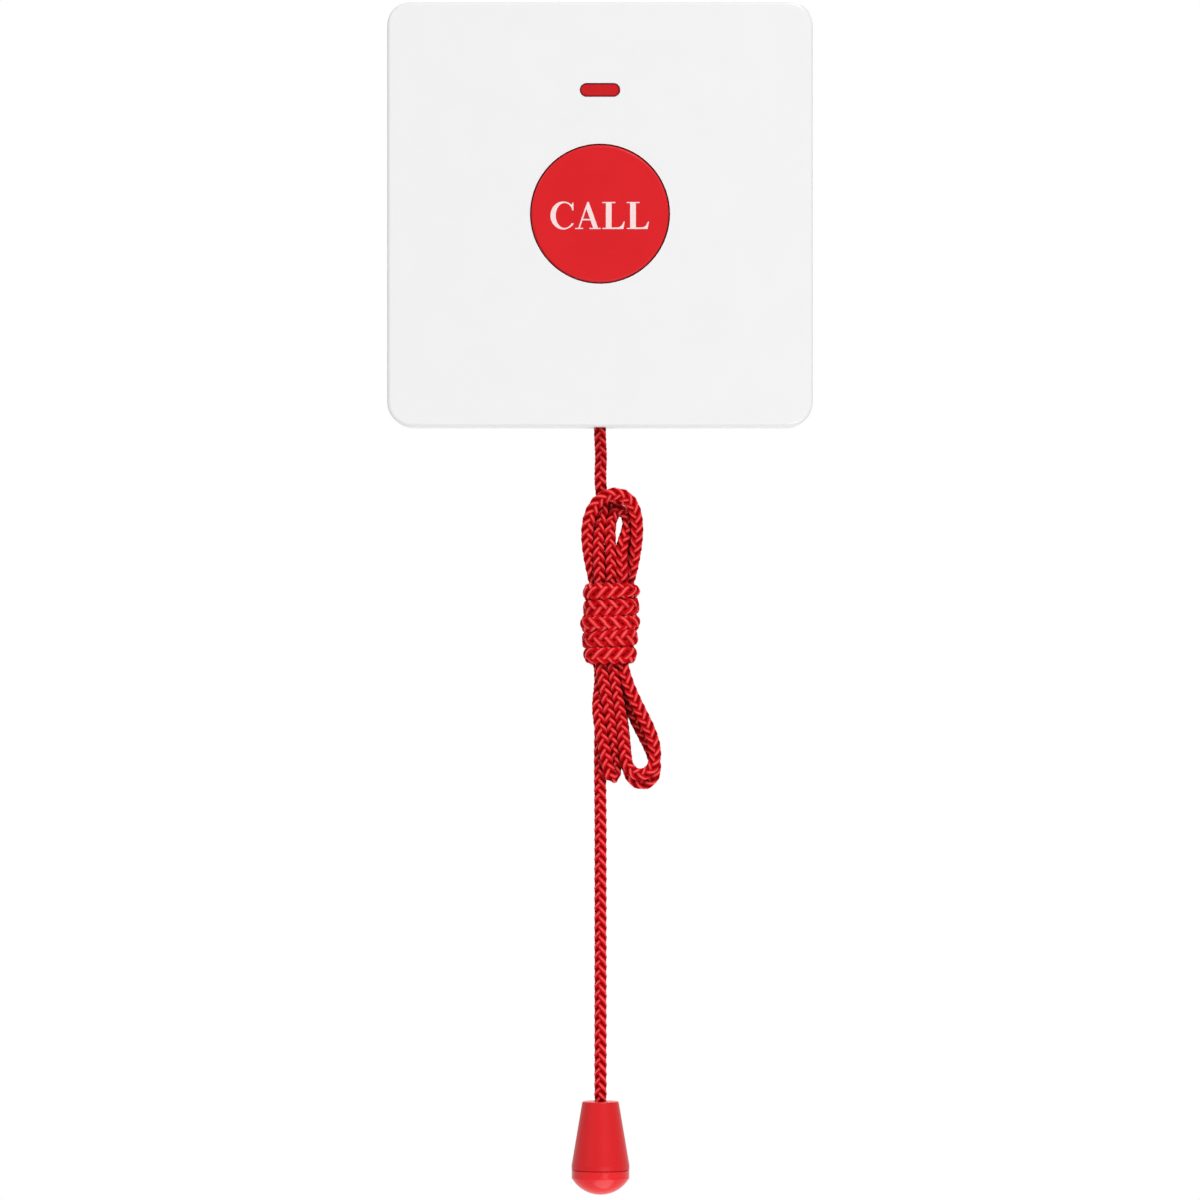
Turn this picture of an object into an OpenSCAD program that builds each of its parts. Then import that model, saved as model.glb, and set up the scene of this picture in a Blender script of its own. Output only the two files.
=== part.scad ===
// Pull cord switch on a square wall plate, with a push button, an indicator window and a hanging cord.
// All sizes are in millimetres. X runs to the right, Y into the wall and Z up.
// The origin is the middle of the plate, on the wall's surface.

/* [Housing] */
// Width of the wall plate
plate_w = 86; // [86:0.5:110]
// Height of the wall plate
plate_h = 86; // [86:0.5:110]
// Depth of the housing off the wall
housing_d = 18; // [18:0.1:24]
// Radius of the plate's corners
corner_r = 5; // [4:0.5:9]
// Rounding of the plate's front edge
edge_r = 0.8; // [0.4:0.1:1.5]
// Thickness of the cover's side walls
wall_t = 2; // [1.6:0.1:2.6]
// Thickness of the cover's front face
face_t = 2.2; // [1.6:0.1:2.8]
// Clearance between the base and the cover's walls
base_fit = 0.15; // [0.05:0.05:0.3]
// Distance between the two wall screws, the standard of an 86 mm box
screw_pitch = 60.3; // [55:0.1:65]
// Width of the wall screws' slots
screw_slot_w = 4.5; // [4:0.1:5]
// Length of the wall screws' slots
screw_slot_l = 7; // [6:0.1:9]

/* [Base] */
// Thickness of the rear base
base_t = 2; // [1.6:0.1:2.6]
// Height of the base's rim off the wall
rim_h = 5.5; // [4.5:0.1:7]
// Thickness of the base's rim
rim_t = 1.6; // [1.2:0.1:2]
// Width of the cable entry
entry_w = 14; // [8:0.5:14]
// Height of the cable entry
entry_h = 8; // [6:0.5:8]
// Height of the posts under the circuit board
post_h = 3; // [2.5:0.1:3.5]

/* [Button] */
// Diameter of the call button
button_d = 27.8; // [20:0.1:28]
// Gap round the button in the plate
button_gap = 0.25; // [0.15:0.05:0.4]
// How far the button stands proud of the plate
button_proud = 0.3; // [0:0.1:1]
// Thickness of the button's face
button_t = 2.4; // [1.8:0.1:3]
// Travel of the button
button_travel = 1.5; // [0.5:0.1:1.6]
// Wire of the button's spring
button_wire_d = 0.6; // [0.4:0.05:0.8]
// Turns of the button's spring
button_turns = 3.5; // [2.5:0.5:5]

/* [Indicator] */
// Length of the indicator window
lens_l = 8; // [5:0.1:10]
// Width of the indicator window
lens_w = 2.6; // [2:0.1:4]
// Height of the indicator above the plate's middle
lens_z = 25; // [24:0.5:27]

/* [Pull mechanism] */
// Distance of the cord from the wall
cord_h = 8; // [8:0.1:8.6]
// Travel of the pull
pull_travel = 5; // [3:0.1:5]
// Width of the slider
slider_w = 9; // [8.8:0.1:9.2]
// Thickness of the slider
slider_t = 7.4; // [7.2:0.1:7.6]
// Length of the slider
slider_l = 8.5; // [8:0.1:9]
// Running clearance of the slider in its guide
slider_fit = 0.1; // [0.05:0.01:0.15]
// Wire of the pull spring
pull_wire_d = 0.5; // [0.4:0.05:0.6]
// Turns of the pull spring
pull_turns = 8; // [6:1:9]

/* [Cord and pull] */
// Diameter of the cord
cord_d = 2.4; // [2:0.1:2.6]
// Diameter of the pull's top
pull_top_d = 7.5; // [6.5:0.1:10]
// Diameter of the pull's wide end
pull_d = 11.75; // [10:0.05:16]
// Length of the pull's tapered body
pull_body_l = 14; // [12:0.1:20]
// Length of the pull's end cap
pull_cap_l = 5; // [4.5:0.1:8]
// Thickness of the pull's wall
pull_wall_t = 1.2; // [0.9:0.1:1.4]
// Drop from the mouth of the bush to the top of the pull
pull_drop = 136.8; // [120:0.2:400]

/* [Hidden] */
$fn = 96;

// Small gaps: between fixed pieces that touch, and at the stops of pieces that move
seat_gap = 0.05;
stop_gap = 0.05;
// How far a cutting shape runs past the surface that it cuts, and how deep joined shapes run together
over = 1;
bite = 0.1;

// Heights off the wall
face_in_h = housing_d - face_t;
board_t = 1.6;
board_back_h = base_t + post_h;
board_h = board_back_h + board_t;

// Inside of the cover, and the base that fits it
inner_w = plate_w - 2 * wall_t;
inner_h = plate_h - 2 * wall_t;
inner_r = corner_r - wall_t;
base_w = inner_w - 2 * base_fit;
base_h = inner_h - 2 * base_fit;
base_r = inner_r - base_fit;
floor_z = -inner_h / 2;
mouth_z = -plate_h / 2;

// Snap hooks of the cover in the windows of the base's rim
hook_l = 6;
hook_out = 0.9;
hook_low_h = 2.6;
hook_high_h = 4;
hook_place = 22;
hook_bevel = 0.2;
hook_edge = 0.3;
window_gap = 0.3;
pry_w = 7;
pry_h = 1.2;
pry_x = 30;

// Shallow pockets in the base's back, so that it stands flat on an uneven wall
pocket_t = 0.6;
pocket_edge_r = 2;
pockets = [[0, 19, 44, 9], [-27, -17, 20, 22], [27, -17, 20, 22]];

// Cable entry, its anchor for a cable tie, and the board's corner that is cut away for it
entry_x = -16;
entry_z = 30.5;
entry_corner_r = 2;
anchor_w = 8;
anchor_l = 2;
anchor_h = 4;
anchor_slot_w = 4;
anchor_slot_h = 1.4;
anchor_z = entry_z + entry_h / 2 + 2.4;
board_half_w = 24;
board_low_z = -10;
board_top_z = 31.5;
board_step_x = -7.5;
board_step_z = entry_z - entry_h / 2 - 0.7;
board_posts = [[-21.5, -1], [21.5, -1], [21.5, 27], [-21.5, 13.5]];
post_r = 2.8;

// Button, from the face inwards
button_r = button_d / 2;
bore_r = button_r + button_gap;
button_edge_r = 0.5;
skirt_t = 1.4;
flange_r = bore_r + 0.85;
flange_t = 1;
counter_r = flange_r + 0.2;
collar_r = counter_r + 1.2;
ledge_h = face_in_h - 2.7;
flange_h = ledge_h - stop_gap;
collar_end_h = flange_h - flange_t - button_travel - 0.35;
button_under_h = housing_d + button_proud - button_t;
key_w = 2;
key_l = 3;
key_gap = 0.2;
boss_r = 3;
button_rib_t = 1;
button_rib_h = 1.2;
cover_rib_t = 1.2;
cover_rib_h = 1.4;
cover_rib_end = 0.3;
retainer_t = 1.4;
retainer_bore_r = 9.7;
lug_r = 2.8;
lug_place = collar_r + 2;
lug_angles = [25, 155, 205, 335];
button_coil_r = button_r - skirt_t - button_wire_d / 2 - 0.8;

// Screws that cut their own thread in plastic
pilot_r = 0.85;
screw_r = 1;
head_r = 1.8;
head_t = 1.2;
slot_t = 0.4;
slot_share = 0.6;
lug_pilot_l = 4;
lug_thread_l = 3.5;
guide_pilot_l = 7;
guide_thread_l = 5.5;
post_tip_gap = 0.4;

// Push switch on the board
push_body_w = 12;
push_body_h = 4.8;
push_body_r = 0.8;
push_stake_place = 4.9;
push_stake_r = 0.6;
push_stake_t = 0.4;
plunger_r = 3.5;
plunger_end_gap = 0.3;
plunger_fit = 0.06;
plunger_out = 2;
plunger_l = 4.4;
plunger_top_h = board_h + push_body_h + plunger_out;

// Indicator lens
lens_gap = 0.1;
lens_proud = 0.1;
lens_bevel_w = 0.32;
lens_bevel_h = 0.6;
lens_flange_l = 15;
lens_flange_w = lens_w + 2.4;
lens_flange_t = 1;
stake_place = 5.9;
stake_r = 0.6;
stake_out = 0.5;
led_r = 1.5;
led_base_r = 1.9;
led_base_t = 1;
led_top_h = board_h + 5.3;
stem_gap = 0.4;
stem_in_l = 2;
stem_in_w = 0.4;

// Small parts on the board: each row is [x, z, width, height, thickness]
chip = [14, 22.7, 6, 8, 1.5];
chip_legs = 4;
chip_leg_pitch = 1.6;
chip_leg_w = 0.6;
chip_leg_out = 1;
chip_leg_t = 0.9;
chips_small = [
    [-7.2, -8.8, 1.6, 0.8, 0.6], [-4.6, -8.8, 1.6, 0.8, 0.6], [-2, -8.8, 1.6, 0.8, 0.6],
    [7.1, 29.2, 3.2, 1.6, 0.7], [5.5, 19, 0.8, 1.6, 0.6], [7.3, 19, 0.8, 1.6, 0.6],
    [-10.5, 4, 1.6, 3.2, 0.9], [-10.5, -2, 0.8, 1.6, 0.6]
];
can_x = 14.5;
can_z = -15.6;
can_r = 2.4;
can_l = 6.4;
can_groove_z = 1.1;
can_groove_t = 0.5;
can_groove_r = 2.2;

// Bush in the bottom wall
bush_bore_r = cord_d / 2 + 0.35;
bush_lip_r = 1.2;
bush_r = bush_bore_r + bush_lip_r + 0.35;
bush_flange_r = bush_r + 1.1;
bush_flange_t = 1.4;
bush_top_z = floor_z + bush_flange_t;

// Slider in its guide, from the bush upwards
spring_rest_l = 12.1;
spring_seat = 1.2;
slider_low_z = bush_top_z + spring_rest_l;
slider_top_z = slider_low_z + slider_l;
guide_end_t = 1.2;
guide_top_z = slider_top_z + stop_gap + guide_end_t;
guide_low_z = bush_top_z + seat_gap;
rail_in = slider_w / 2 + slider_fit;
rail_t = 1.6;
rail_out = rail_in + rail_t;
guide_floor_h = cord_h - slider_t / 2 - slider_fit;
guide_h = cord_h + slider_t / 2 + slider_fit;
guide_cap_t = 1.4;
cap_rib_w = 2;
cap_rib_h = 0.7;
cap_rib_end = 3;
end_gap = 0.6;
guide_boss_r = 2.4;
guide_boss_x = -(rail_out + guide_boss_r - 0.2);
guide_boss_z = [guide_top_z - guide_boss_r - 1.5, guide_low_z + guide_boss_r + 1.5];
knot_r = 2.15;
pocket_r = knot_r + 0.5;
knot_pocket_l = 4.6;
pocket_floor_z = slider_top_z - knot_pocket_l;
cord_end = 0.6;
cord_hole_r = cord_d / 2 + 0.2;
pull_coil_r = 2.6;
seat_r = pull_coil_r + pull_wire_d / 2 + 0.25;

// Lever microswitch, worked by the slider's cam
cam_slope = 0.2;
cam_top_z = slider_low_z + 0.1;
cam_tip_z = cam_top_z - pull_travel;
cam_foot_z = cam_tip_z - 1.8;
cam_x = rail_in + 0.7;
cam_in_x = 3.3;
cam_t = 3.2;
cam_nose_w = 0.5;
cam_nose_h = 0.8;
cam_root = 1;
micro_l = 12.8;
micro_w = 6.5;
micro_t = 5.8;
micro_h = board_h + micro_t / 2;
micro_hole_r = 0.9;
micro_hole_x = micro_w - 1.9;
micro_hole_low = 2.4;
micro_hole_high = 2.9;
hinge_notch = 0.8;
hinge_gap = 0.08;
pin_gap = 0.06;
lever_t = 0.4;
lever_w = 3.5;
hump_r = 1.25;
tip_gap = 0.1;
hump_x = cam_x + tip_gap;
lever_back_x = hump_x + 3.3;
micro_x = lever_back_x + 1.2;
lever_arm = 11.3;
pivot_x = micro_x + 0.5;
pivot_z = cam_tip_z + lever_arm;
pivot_r = 0.5;
micro_top_z = pivot_z + 0.9;
pin_r = 0.7;
pin_z = pivot_z - 4.5;
pin_l = 2.4;
tongue_x0 = rail_out + 2;
tongue_x1 = 22;
tongue_low_z = micro_top_z - micro_l - 2;

// Terminal block
term_x = -16;
term_ways = 4;
term_pitch = 3.5;
term_w = term_ways * term_pitch;
term_z0 = 17.4;
term_z1 = min(25, board_step_z - 0.8);
term_tall = 8;
term_screw_r = 1.25;
term_screw_l = 2;
term_screw_down = 3;
term_screw_gap = 0.15;
term_screw_place = 0.4;
term_slot_t = 0.7;
wire_w = 2.4;
wire_h = 2.8;
wire_l = 5;
wire_low = 1.2;
term_step_w = 1.6;
term_step_h = 2.2;

// Cord's stretches from the mouth of the bush, as [x, distance back, drop]
bend_gap = 0.1;
upper_route = [[0, 0, -1.3], [0.1, 0, -3.5], [0.2, 0, -6], [0.1, 0, -9], [0, 0.3, -11.7], [-0.1, 0.9, -15]];
lower_route = [
    [0.3, 3.4, -47.5], [0.3, 3, -51], [0.2, 2.4, -55], [0.1, 1.7, -60], [0, 1, -65], [0, 0.5, -69],
    [0.05, 0.2, -74], [0.1, 0, -80], [0.1, 0, -87], [0.1, 0, -94], [0.1, 0, -101], [0.1, 0, -108],
    [0.1, 0, -115], [0.1, 0, -122], [0.1, 0, -129]
];
cord_sides = 8;

// Hank: its loops, and the turns wrapped round its waist
loops_t = 2 * cord_d;
upper_lobes = [[1.35, -19.3, 5.2], [3.6, -17.3, 5.2], [2.2, -30, 4.6]];
lower_lobes = [[1.9, -49, 3.1], [2.9, -69.9, 2], [8.5, -69.3, 4.1]];
wrap_x = 1.8;
wrap_w = 12.2;
wrap_t = 4 * cord_d;
wrap_top = -32.3;
wrap_low = -48.2;

// Pull
pull_x = 0.1;
pull_top_z = -pull_drop;
pull_edge_r = 0.4;
pull_top_t = 2;
skirt_l = 1;
spigot_l = 2.8;
spigot_fit = 0.05;
dome_l = pull_cap_l - 1.6;
parting_r = 0.12;
cavity_gap = 0.2;
tail_gap = 0.1;
pull_knot_r = 2.2;

// Turns a piece drawn flat on its back, with its height as local z, up onto the wall
module off_wall() {
    rotate([90, 0, 0]) children();
}

// Puts a piece below the mouth of the bush
module below_mouth() {
    translate([0, -cord_h, mouth_z]) children();
}

module rounded_rect(w, h, r) {
    square([w - 2 * r, h], center = true);
    square([w, h - 2 * r], center = true);
    for (sx = [-1, 1], sy = [-1, 1])
        translate([sx * (w / 2 - r), sy * (h / 2 - r)]) circle(r);
}

module stadium(l, w) {
    square([l - w, w], center = true);
    for (s = [-1, 1])
        translate([s * (l - w) / 2, 0]) circle(w / 2);
}

// A prism of a stadium whose front edge is cut back to a steep bevel
module bevelled_stadium(l, w, h, bevel_w, bevel_h) {
    r = w / 2;
    linear_extrude(h - bevel_h) stadium(l, w);
    translate([0, 0, h - bevel_h]) {
        for (s = [-1, 1])
            translate([s * (l - w) / 2, 0]) cylinder(h = bevel_h, r1 = r, r2 = r - bevel_w);
        rotate([90, 0, 90]) linear_extrude(l - w, center = true)
            polygon([[-r, 0], [r, 0], [r - bevel_w, bevel_h], [bevel_w - r, bevel_h]]);
    }
}

// A block with rounded corners whose front edge is rounded too
module soft_block(w, h, d, r, e) {
    linear_extrude(d - e) rounded_rect(w, h, r);
    linear_extrude(d) rounded_rect(w - 2 * e, h - 2 * e, r - e);
    for (s = [-1, 1]) {
        translate([0, s * (h / 2 - e), d - e])
            rotate([0, 90, 0]) cylinder(h = w - 2 * r, r = e, center = true);
        translate([s * (w / 2 - e), 0, d - e])
            rotate([90, 0, 0]) cylinder(h = h - 2 * r, r = e, center = true);
    }
    for (sx = [-1, 1], sy = [-1, 1])
        translate([sx * (w / 2 - r), sy * (h / 2 - r), d - e])
            rotate_extrude() translate([r - e, 0]) circle(e);
}

module ring(r_out, r_in, h) {
    difference() {
        cylinder(h = h, r = r_out);
        translate([0, 0, -over]) cylinder(h = h + 2 * over, r = r_in);
    }
}

// Places its children at each of the button retainer's four lugs
module at_lugs() {
    for (a = lug_angles)
        rotate(a) translate([lug_place, 0, 0]) children();
}

// A round-headed screw pointing down from its head at z = 0
module pan_screw(length) {
    difference() {
        union() {
            cylinder(h = head_t, r = head_r);
            translate([0, 0, -length]) cylinder(h = length, r = pilot_r);
        }
        for (a = [0, 90])
            rotate(a) translate([-head_r * slot_share, -slot_t / 2, head_t / 2])
                cube([2 * head_r * slot_share, slot_t, head_t]);
    }
}

function unit(v) = v / norm(v);
function along(p, i) = unit(p[min(i + 1, len(p) - 1)] - p[max(i - 1, 0)]);
function ring_points(p, i, r, sides, side_of) =
    let (t = along(p, i), u = unit(cross(t, side_of)), v = cross(t, u))
    [for (k = [0 : sides - 1]) p[i] + r * (cos(360 * k / sides) * u + sin(360 * k / sides) * v)];

// A tube swept along the points p; side_of is a direction that the route never runs in
module tube(p, r, sides, side_of) {
    n = len(p);
    points = [for (i = [0 : n - 1]) each ring_points(p, i, r, sides, side_of)];
    walls = [
        for (i = [0 : n - 2], k = [0 : sides - 1])
            let (a = i * sides + k, b = i * sides + (k + 1) % sides)
            [a, a + sides, b + sides, b]
    ];
    low_end = [for (k = [0 : sides - 1]) k];
    high_end = [for (k = [sides - 1 : -1 : 0]) (n - 1) * sides + k];
    polyhedron(points, concat(walls, [low_end, high_end]), convexity = 10);
}

// The middle line of a compression spring that stands on z = 0, with a closed turn at each end
function coil_height(turn, turns, length, wire_d) =
    let (free = (length - 3 * wire_d) / (turns - 2))
    wire_d / 2 + min(turn, 1) * wire_d + max(min(turn, turns - 1) - 1, 0) * free
    + max(turn - turns + 1, 0) * wire_d;
function coil(r, turns, length, wire_d, steps) = [
    for (i = [0 : turns * steps])
        [r * cos(360 * i / steps), r * sin(360 * i / steps),
         coil_height(i / steps, turns, length, wire_d)]
];

module cover_shell() {
    difference() {
        soft_block(plate_w, plate_h, housing_d, corner_r, edge_r);
        translate([0, 0, -over])
            linear_extrude(face_in_h + over) rounded_rect(inner_w, inner_h, inner_r);
    }
}

// Ribs behind the face, from the button's collar to the side walls and the floor
module cover_ribs() {
    low_h = face_in_h - cover_rib_h;
    for (turn = [0, 180, 270]) {
        reach = (turn % 180 == 0 ? inner_w : inner_h) / 2 + cover_rib_end;
        rotate(turn) translate([collar_r - cover_rib_end, -cover_rib_t / 2, low_h])
            cube([reach - collar_r + cover_rib_end, cover_rib_t, cover_rib_h + bite]);
    }
}

module cover_hooks() {
    profile = [[hook_edge, hook_low_h - hook_bevel], [hook_edge, hook_high_h], [-hook_out, hook_high_h],
               [-hook_out, hook_high_h - hook_edge]];
    for (turn = [0 : 90 : 270], s = [-1, 1]) {
        reach = (turn % 180 == 0 ? inner_w : inner_h) / 2;
        rotate(turn) translate([reach, s * hook_place + hook_l / 2, 0])
            rotate([90, 0, 0]) linear_extrude(hook_l) polygon(profile);
    }
}

module bush_notch(w) {
    translate([-w / 2, mouth_z - over, -over]) cube([w, wall_t + 2 * over, cord_h + over]);
    translate([0, mouth_z - over, cord_h])
        rotate([-90, 0, 0]) cylinder(h = wall_t + 2 * over, r = w / 2);
}

module front_cover() {
    color("whitesmoke") off_wall() difference() {
        union() {
            cover_shell();
            translate([0, 0, collar_end_h])
                ring(collar_r, counter_r - over, face_in_h - collar_end_h + bite);
            at_lugs() translate([0, 0, collar_end_h])
                cylinder(h = face_in_h - collar_end_h + bite, r = lug_r);
            for (s = [-1, 1])
                translate([s * stake_place, lens_z, face_in_h - lens_flange_t - stake_out])
                    cylinder(h = lens_flange_t + stake_out + bite, r = stake_r);
            cover_ribs();
            cover_hooks();
        }
        translate([0, 0, -over]) cylinder(h = housing_d + 2 * over, r = bore_r);
        difference() {
            translate([0, 0, -over]) cylinder(h = ledge_h + over, r = counter_r);
            translate([-key_w / 2, bore_r, 0]) cube([key_w, key_l, ledge_h]);
        }
        translate([0, lens_z, face_in_h - over])
            linear_extrude(face_t + 2 * over) stadium(lens_l + 2 * lens_gap, lens_w + 2 * lens_gap);
        at_lugs() translate([0, 0, collar_end_h - over]) cylinder(h = lug_pilot_l + over, r = pilot_r);
        bush_notch(2 * (bush_r + seat_gap));
        translate([pry_x - pry_w / 2, mouth_z - over, -over]) cube([pry_w, wall_t + 2 * over, pry_h + over]);
    }
}

module base_guide() {
    length = guide_top_z - guide_low_z;
    translate([-rail_out, guide_low_z, 0]) cube([2 * rail_out, length, guide_floor_h]);
    translate([-rail_out, guide_low_z, 0]) cube([rail_t, length, guide_h]);
    translate([-rail_out, guide_top_z - guide_end_t, 0]) cube([2 * rail_out, guide_end_t, guide_h]);
    rail_low_z = slider_low_z + end_gap;
    translate([rail_in, rail_low_z, 0]) cube([rail_t, guide_top_z - rail_low_z, guide_h]);
    for (z = guide_boss_z)
        translate([guide_boss_x, z, 0]) cylinder(h = guide_h, r = guide_boss_r);
}

module base_tongue() {
    w = 2 * bush_r;
    translate([-w / 2, mouth_z, 0]) cube([w, wall_t + base_fit + over / 2, cord_h]);
}

// A bridge for a cable tie, above the cable entry
module cable_anchor() {
    translate([entry_x, anchor_z + anchor_l / 2, base_t - bite]) difference() {
        translate([-anchor_w / 2, -anchor_l / 2, 0]) cube([anchor_w, anchor_l, anchor_h + bite]);
        translate([-anchor_slot_w / 2, -anchor_l / 2 - over, bite])
            cube([anchor_slot_w, anchor_l + 2 * over, anchor_slot_h]);
    }
}

module rim_windows() {
    length = hook_l + 2 * window_gap;
    low_h = hook_low_h - window_gap;
    for (turn = [0 : 90 : 270], s = [-1, 1]) {
        reach = (turn % 180 == 0 ? base_w : base_h) / 2;
        rotate(turn)
            translate([reach - rim_t - over, s * hook_place - length / 2, low_h])
                cube([rim_t + 2 * over, length, hook_high_h + bite - low_h]);
    }
}

module rear_base() {
    color("gainsboro") off_wall() difference() {
        union() {
            linear_extrude(base_t) rounded_rect(base_w, base_h, base_r);
            linear_extrude(rim_h) difference() {
                rounded_rect(base_w, base_h, base_r);
                rounded_rect(base_w - 2 * rim_t, base_h - 2 * rim_t, base_r - rim_t + 0.4);
            }
            for (p = board_posts)
                translate(p) cylinder(h = board_back_h, r = post_r);
            base_guide();
            base_tongue();
            cable_anchor();
        }
        for (s = [-1, 1])
            translate([s * screw_pitch / 2, 0, -over])
                linear_extrude(base_t + 2 * over) stadium(screw_slot_l, screw_slot_w);
        translate([entry_x, entry_z, -over])
            linear_extrude(base_t + 2 * over) rounded_rect(entry_w, entry_h, entry_corner_r);
        for (p = pockets)
            translate([p[0], p[1], -over])
                linear_extrude(pocket_t + over) rounded_rect(p[2], p[3], pocket_edge_r);
        for (p = board_posts)
            translate([p[0], p[1], base_t]) cylinder(h = post_h + over, r = pilot_r);
        for (z = guide_boss_z)
            translate([guide_boss_x, z, guide_h - guide_pilot_l])
                cylinder(h = guide_pilot_l + over, r = pilot_r);
        translate([0, mouth_z - over, cord_h])
            rotate([-90, 0, 0]) cylinder(h = wall_t + base_fit + over, r = bush_r + seat_gap);
        translate([0, floor_z - seat_gap, cord_h])
            rotate([-90, 0, 0]) cylinder(h = bush_flange_t + 2 * seat_gap, r = bush_flange_r + seat_gap);
        translate([-rail_in, floor_z - seat_gap, guide_floor_h])
            cube([2 * rail_in, rim_t + 1, rim_h]);
        rim_windows();
    }
}

module button_profile() {
    top = housing_d + button_proud;
    e = button_edge_r;
    translate([0, button_under_h]) square([button_r - e, button_t]);
    translate([0, button_under_h]) square([button_r, button_t - e]);
    translate([button_r - e, top - e]) circle(e);
    low = flange_h - flange_t;
    translate([button_r - skirt_t, low]) square([skirt_t, button_under_h - low + bite]);
    translate([button_r - skirt_t, low]) square([flange_r - button_r + skirt_t, flange_t]);
}

module call_button() {
    boss_low_h = plunger_top_h + seat_gap;
    rib_l = 2 * (button_coil_r - 2 * button_wire_d);
    color("crimson") off_wall() difference() {
        union() {
            rotate_extrude() button_profile();
            translate([0, 0, boss_low_h]) cylinder(h = button_under_h - boss_low_h + bite, r = boss_r);
            for (a = [0, 90])
                rotate(a) translate([0, 0, button_under_h + bite - button_rib_h / 2])
                    cube([rib_l, button_rib_t, button_rib_h], center = true);
        }
        translate([-key_w / 2 - key_gap, bore_r - key_gap, 0])
            cube([key_w + 2 * key_gap, key_l, ledge_h]);
    }
}

module button_spring() {
    length = button_under_h - collar_end_h - 2 * seat_gap;
    color("silver") off_wall() translate([0, 0, collar_end_h + seat_gap])
        tube(coil(button_coil_r, button_turns, length, button_wire_d, 24), button_wire_d / 2, 6, [0, 0, 1]);
}

module button_retainer() {
    color("white") off_wall() translate([0, 0, collar_end_h - retainer_t]) difference() {
        union() {
            cylinder(h = retainer_t, r = collar_r);
            at_lugs() cylinder(h = retainer_t, r = lug_r);
        }
        translate([0, 0, -over]) cylinder(h = retainer_t + 2 * over, r = retainer_bore_r);
        at_lugs() translate([0, 0, -over]) cylinder(h = retainer_t + 2 * over, r = screw_r);
    }
}

module retainer_screws() {
    color("silver") off_wall() at_lugs() translate([0, 0, collar_end_h - retainer_t])
        mirror([0, 0, 1]) pan_screw(retainer_t + lug_thread_l);
}

module indicator_lens() {
    stem_low_h = led_top_h + stem_gap;
    color("red") off_wall() translate([0, lens_z, 0]) difference() {
        union() {
            translate([0, 0, face_in_h - bite])
                bevelled_stadium(lens_l, lens_w, face_t + lens_proud + bite, lens_bevel_w, lens_bevel_h);
            translate([0, 0, face_in_h - lens_flange_t])
                linear_extrude(lens_flange_t) stadium(lens_flange_l, lens_flange_w);
            translate([0, 0, stem_low_h])
                linear_extrude(face_in_h - lens_flange_t - stem_low_h + bite)
                    stadium(lens_l - stem_in_l, lens_w - stem_in_w);
        }
        for (s = [-1, 1])
            translate([s * stake_place, 0, face_in_h - lens_flange_t - over])
                cylinder(h = lens_flange_t + over, r = stake_r + seat_gap);
    }
}

module indicator_led() {
    color("tomato") off_wall() translate([0, lens_z, board_h]) {
        cylinder(h = led_base_t, r = led_base_r);
        cylinder(h = led_top_h - board_h - led_r, r = led_r);
        translate([0, 0, led_top_h - board_h - led_r]) sphere(led_r);
    }
}

module board_outline() {
    difference() {
        union() {
            translate([-board_half_w, board_low_z])
                square([2 * board_half_w, board_top_z - board_low_z]);
            translate([tongue_x0, tongue_low_z])
                square([tongue_x1 - tongue_x0, board_low_z - tongue_low_z + bite]);
        }
        translate([-board_half_w - over, board_step_z])
            square([board_step_x + board_half_w + over, board_top_z - board_step_z + over]);
        for (p = board_posts)
            translate(p) circle(screw_r);
    }
}

module circuit_board() {
    color("seagreen") off_wall() translate([0, 0, board_back_h])
        linear_extrude(board_t) board_outline();
}

module board_screws() {
    color("silver") off_wall() for (p = board_posts)
        translate([p[0], p[1], board_h]) pan_screw(board_t + post_h - post_tip_gap);
}

module flat_part(row) {
    translate([row[0] - row[2] / 2, row[1] - row[3] / 2, 0]) cube([row[2], row[3], row[4]]);
}

// A chip with a row of bent legs down each side
module board_chip() {
    flat_part(chip);
    out = chip[2] / 2 + chip_leg_out;
    for (k = [0 : chip_legs - 1])
        translate([chip[0] - out, chip[1] + (k - (chip_legs - 1) / 2) * chip_leg_pitch - chip_leg_w / 2, 0])
            cube([2 * out, chip_leg_w, chip_leg_t]);
}

// A capacitor's can, with the groove that crimps it on its seal
module board_can() {
    translate([can_x, can_z, 0]) {
        cylinder(h = can_l, r = can_groove_r);
        cylinder(h = can_groove_z, r = can_r);
        translate([0, 0, can_groove_z + can_groove_t])
            cylinder(h = can_l - can_groove_z - can_groove_t, r = can_r);
    }
}

module board_parts() {
    color("dimgray") off_wall() translate([0, 0, board_h]) {
        board_chip();
        board_can();
        for (row = chips_small)
            flat_part(row);
    }
}

module push_switch_body() {
    bore_low_h = plunger_top_h - plunger_l - button_travel - plunger_end_gap;
    color("dimgray") off_wall() difference() {
        translate([0, 0, board_h]) linear_extrude(push_body_h)
            rounded_rect(push_body_w, push_body_w, push_body_r);
        translate([0, 0, bore_low_h]) cylinder(h = push_body_h, r = plunger_r + plunger_fit);
        for (sx = [-1, 1], sy = [-1, 1])
            translate([sx * push_stake_place, sy * push_stake_place, board_h + push_body_h - push_stake_t])
                cylinder(h = push_stake_t + over, r = push_stake_r);
    }
}

module push_switch_plunger() {
    color("black") off_wall() translate([0, 0, plunger_top_h - plunger_l])
        cylinder(h = plunger_l, r = plunger_r);
}

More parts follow.
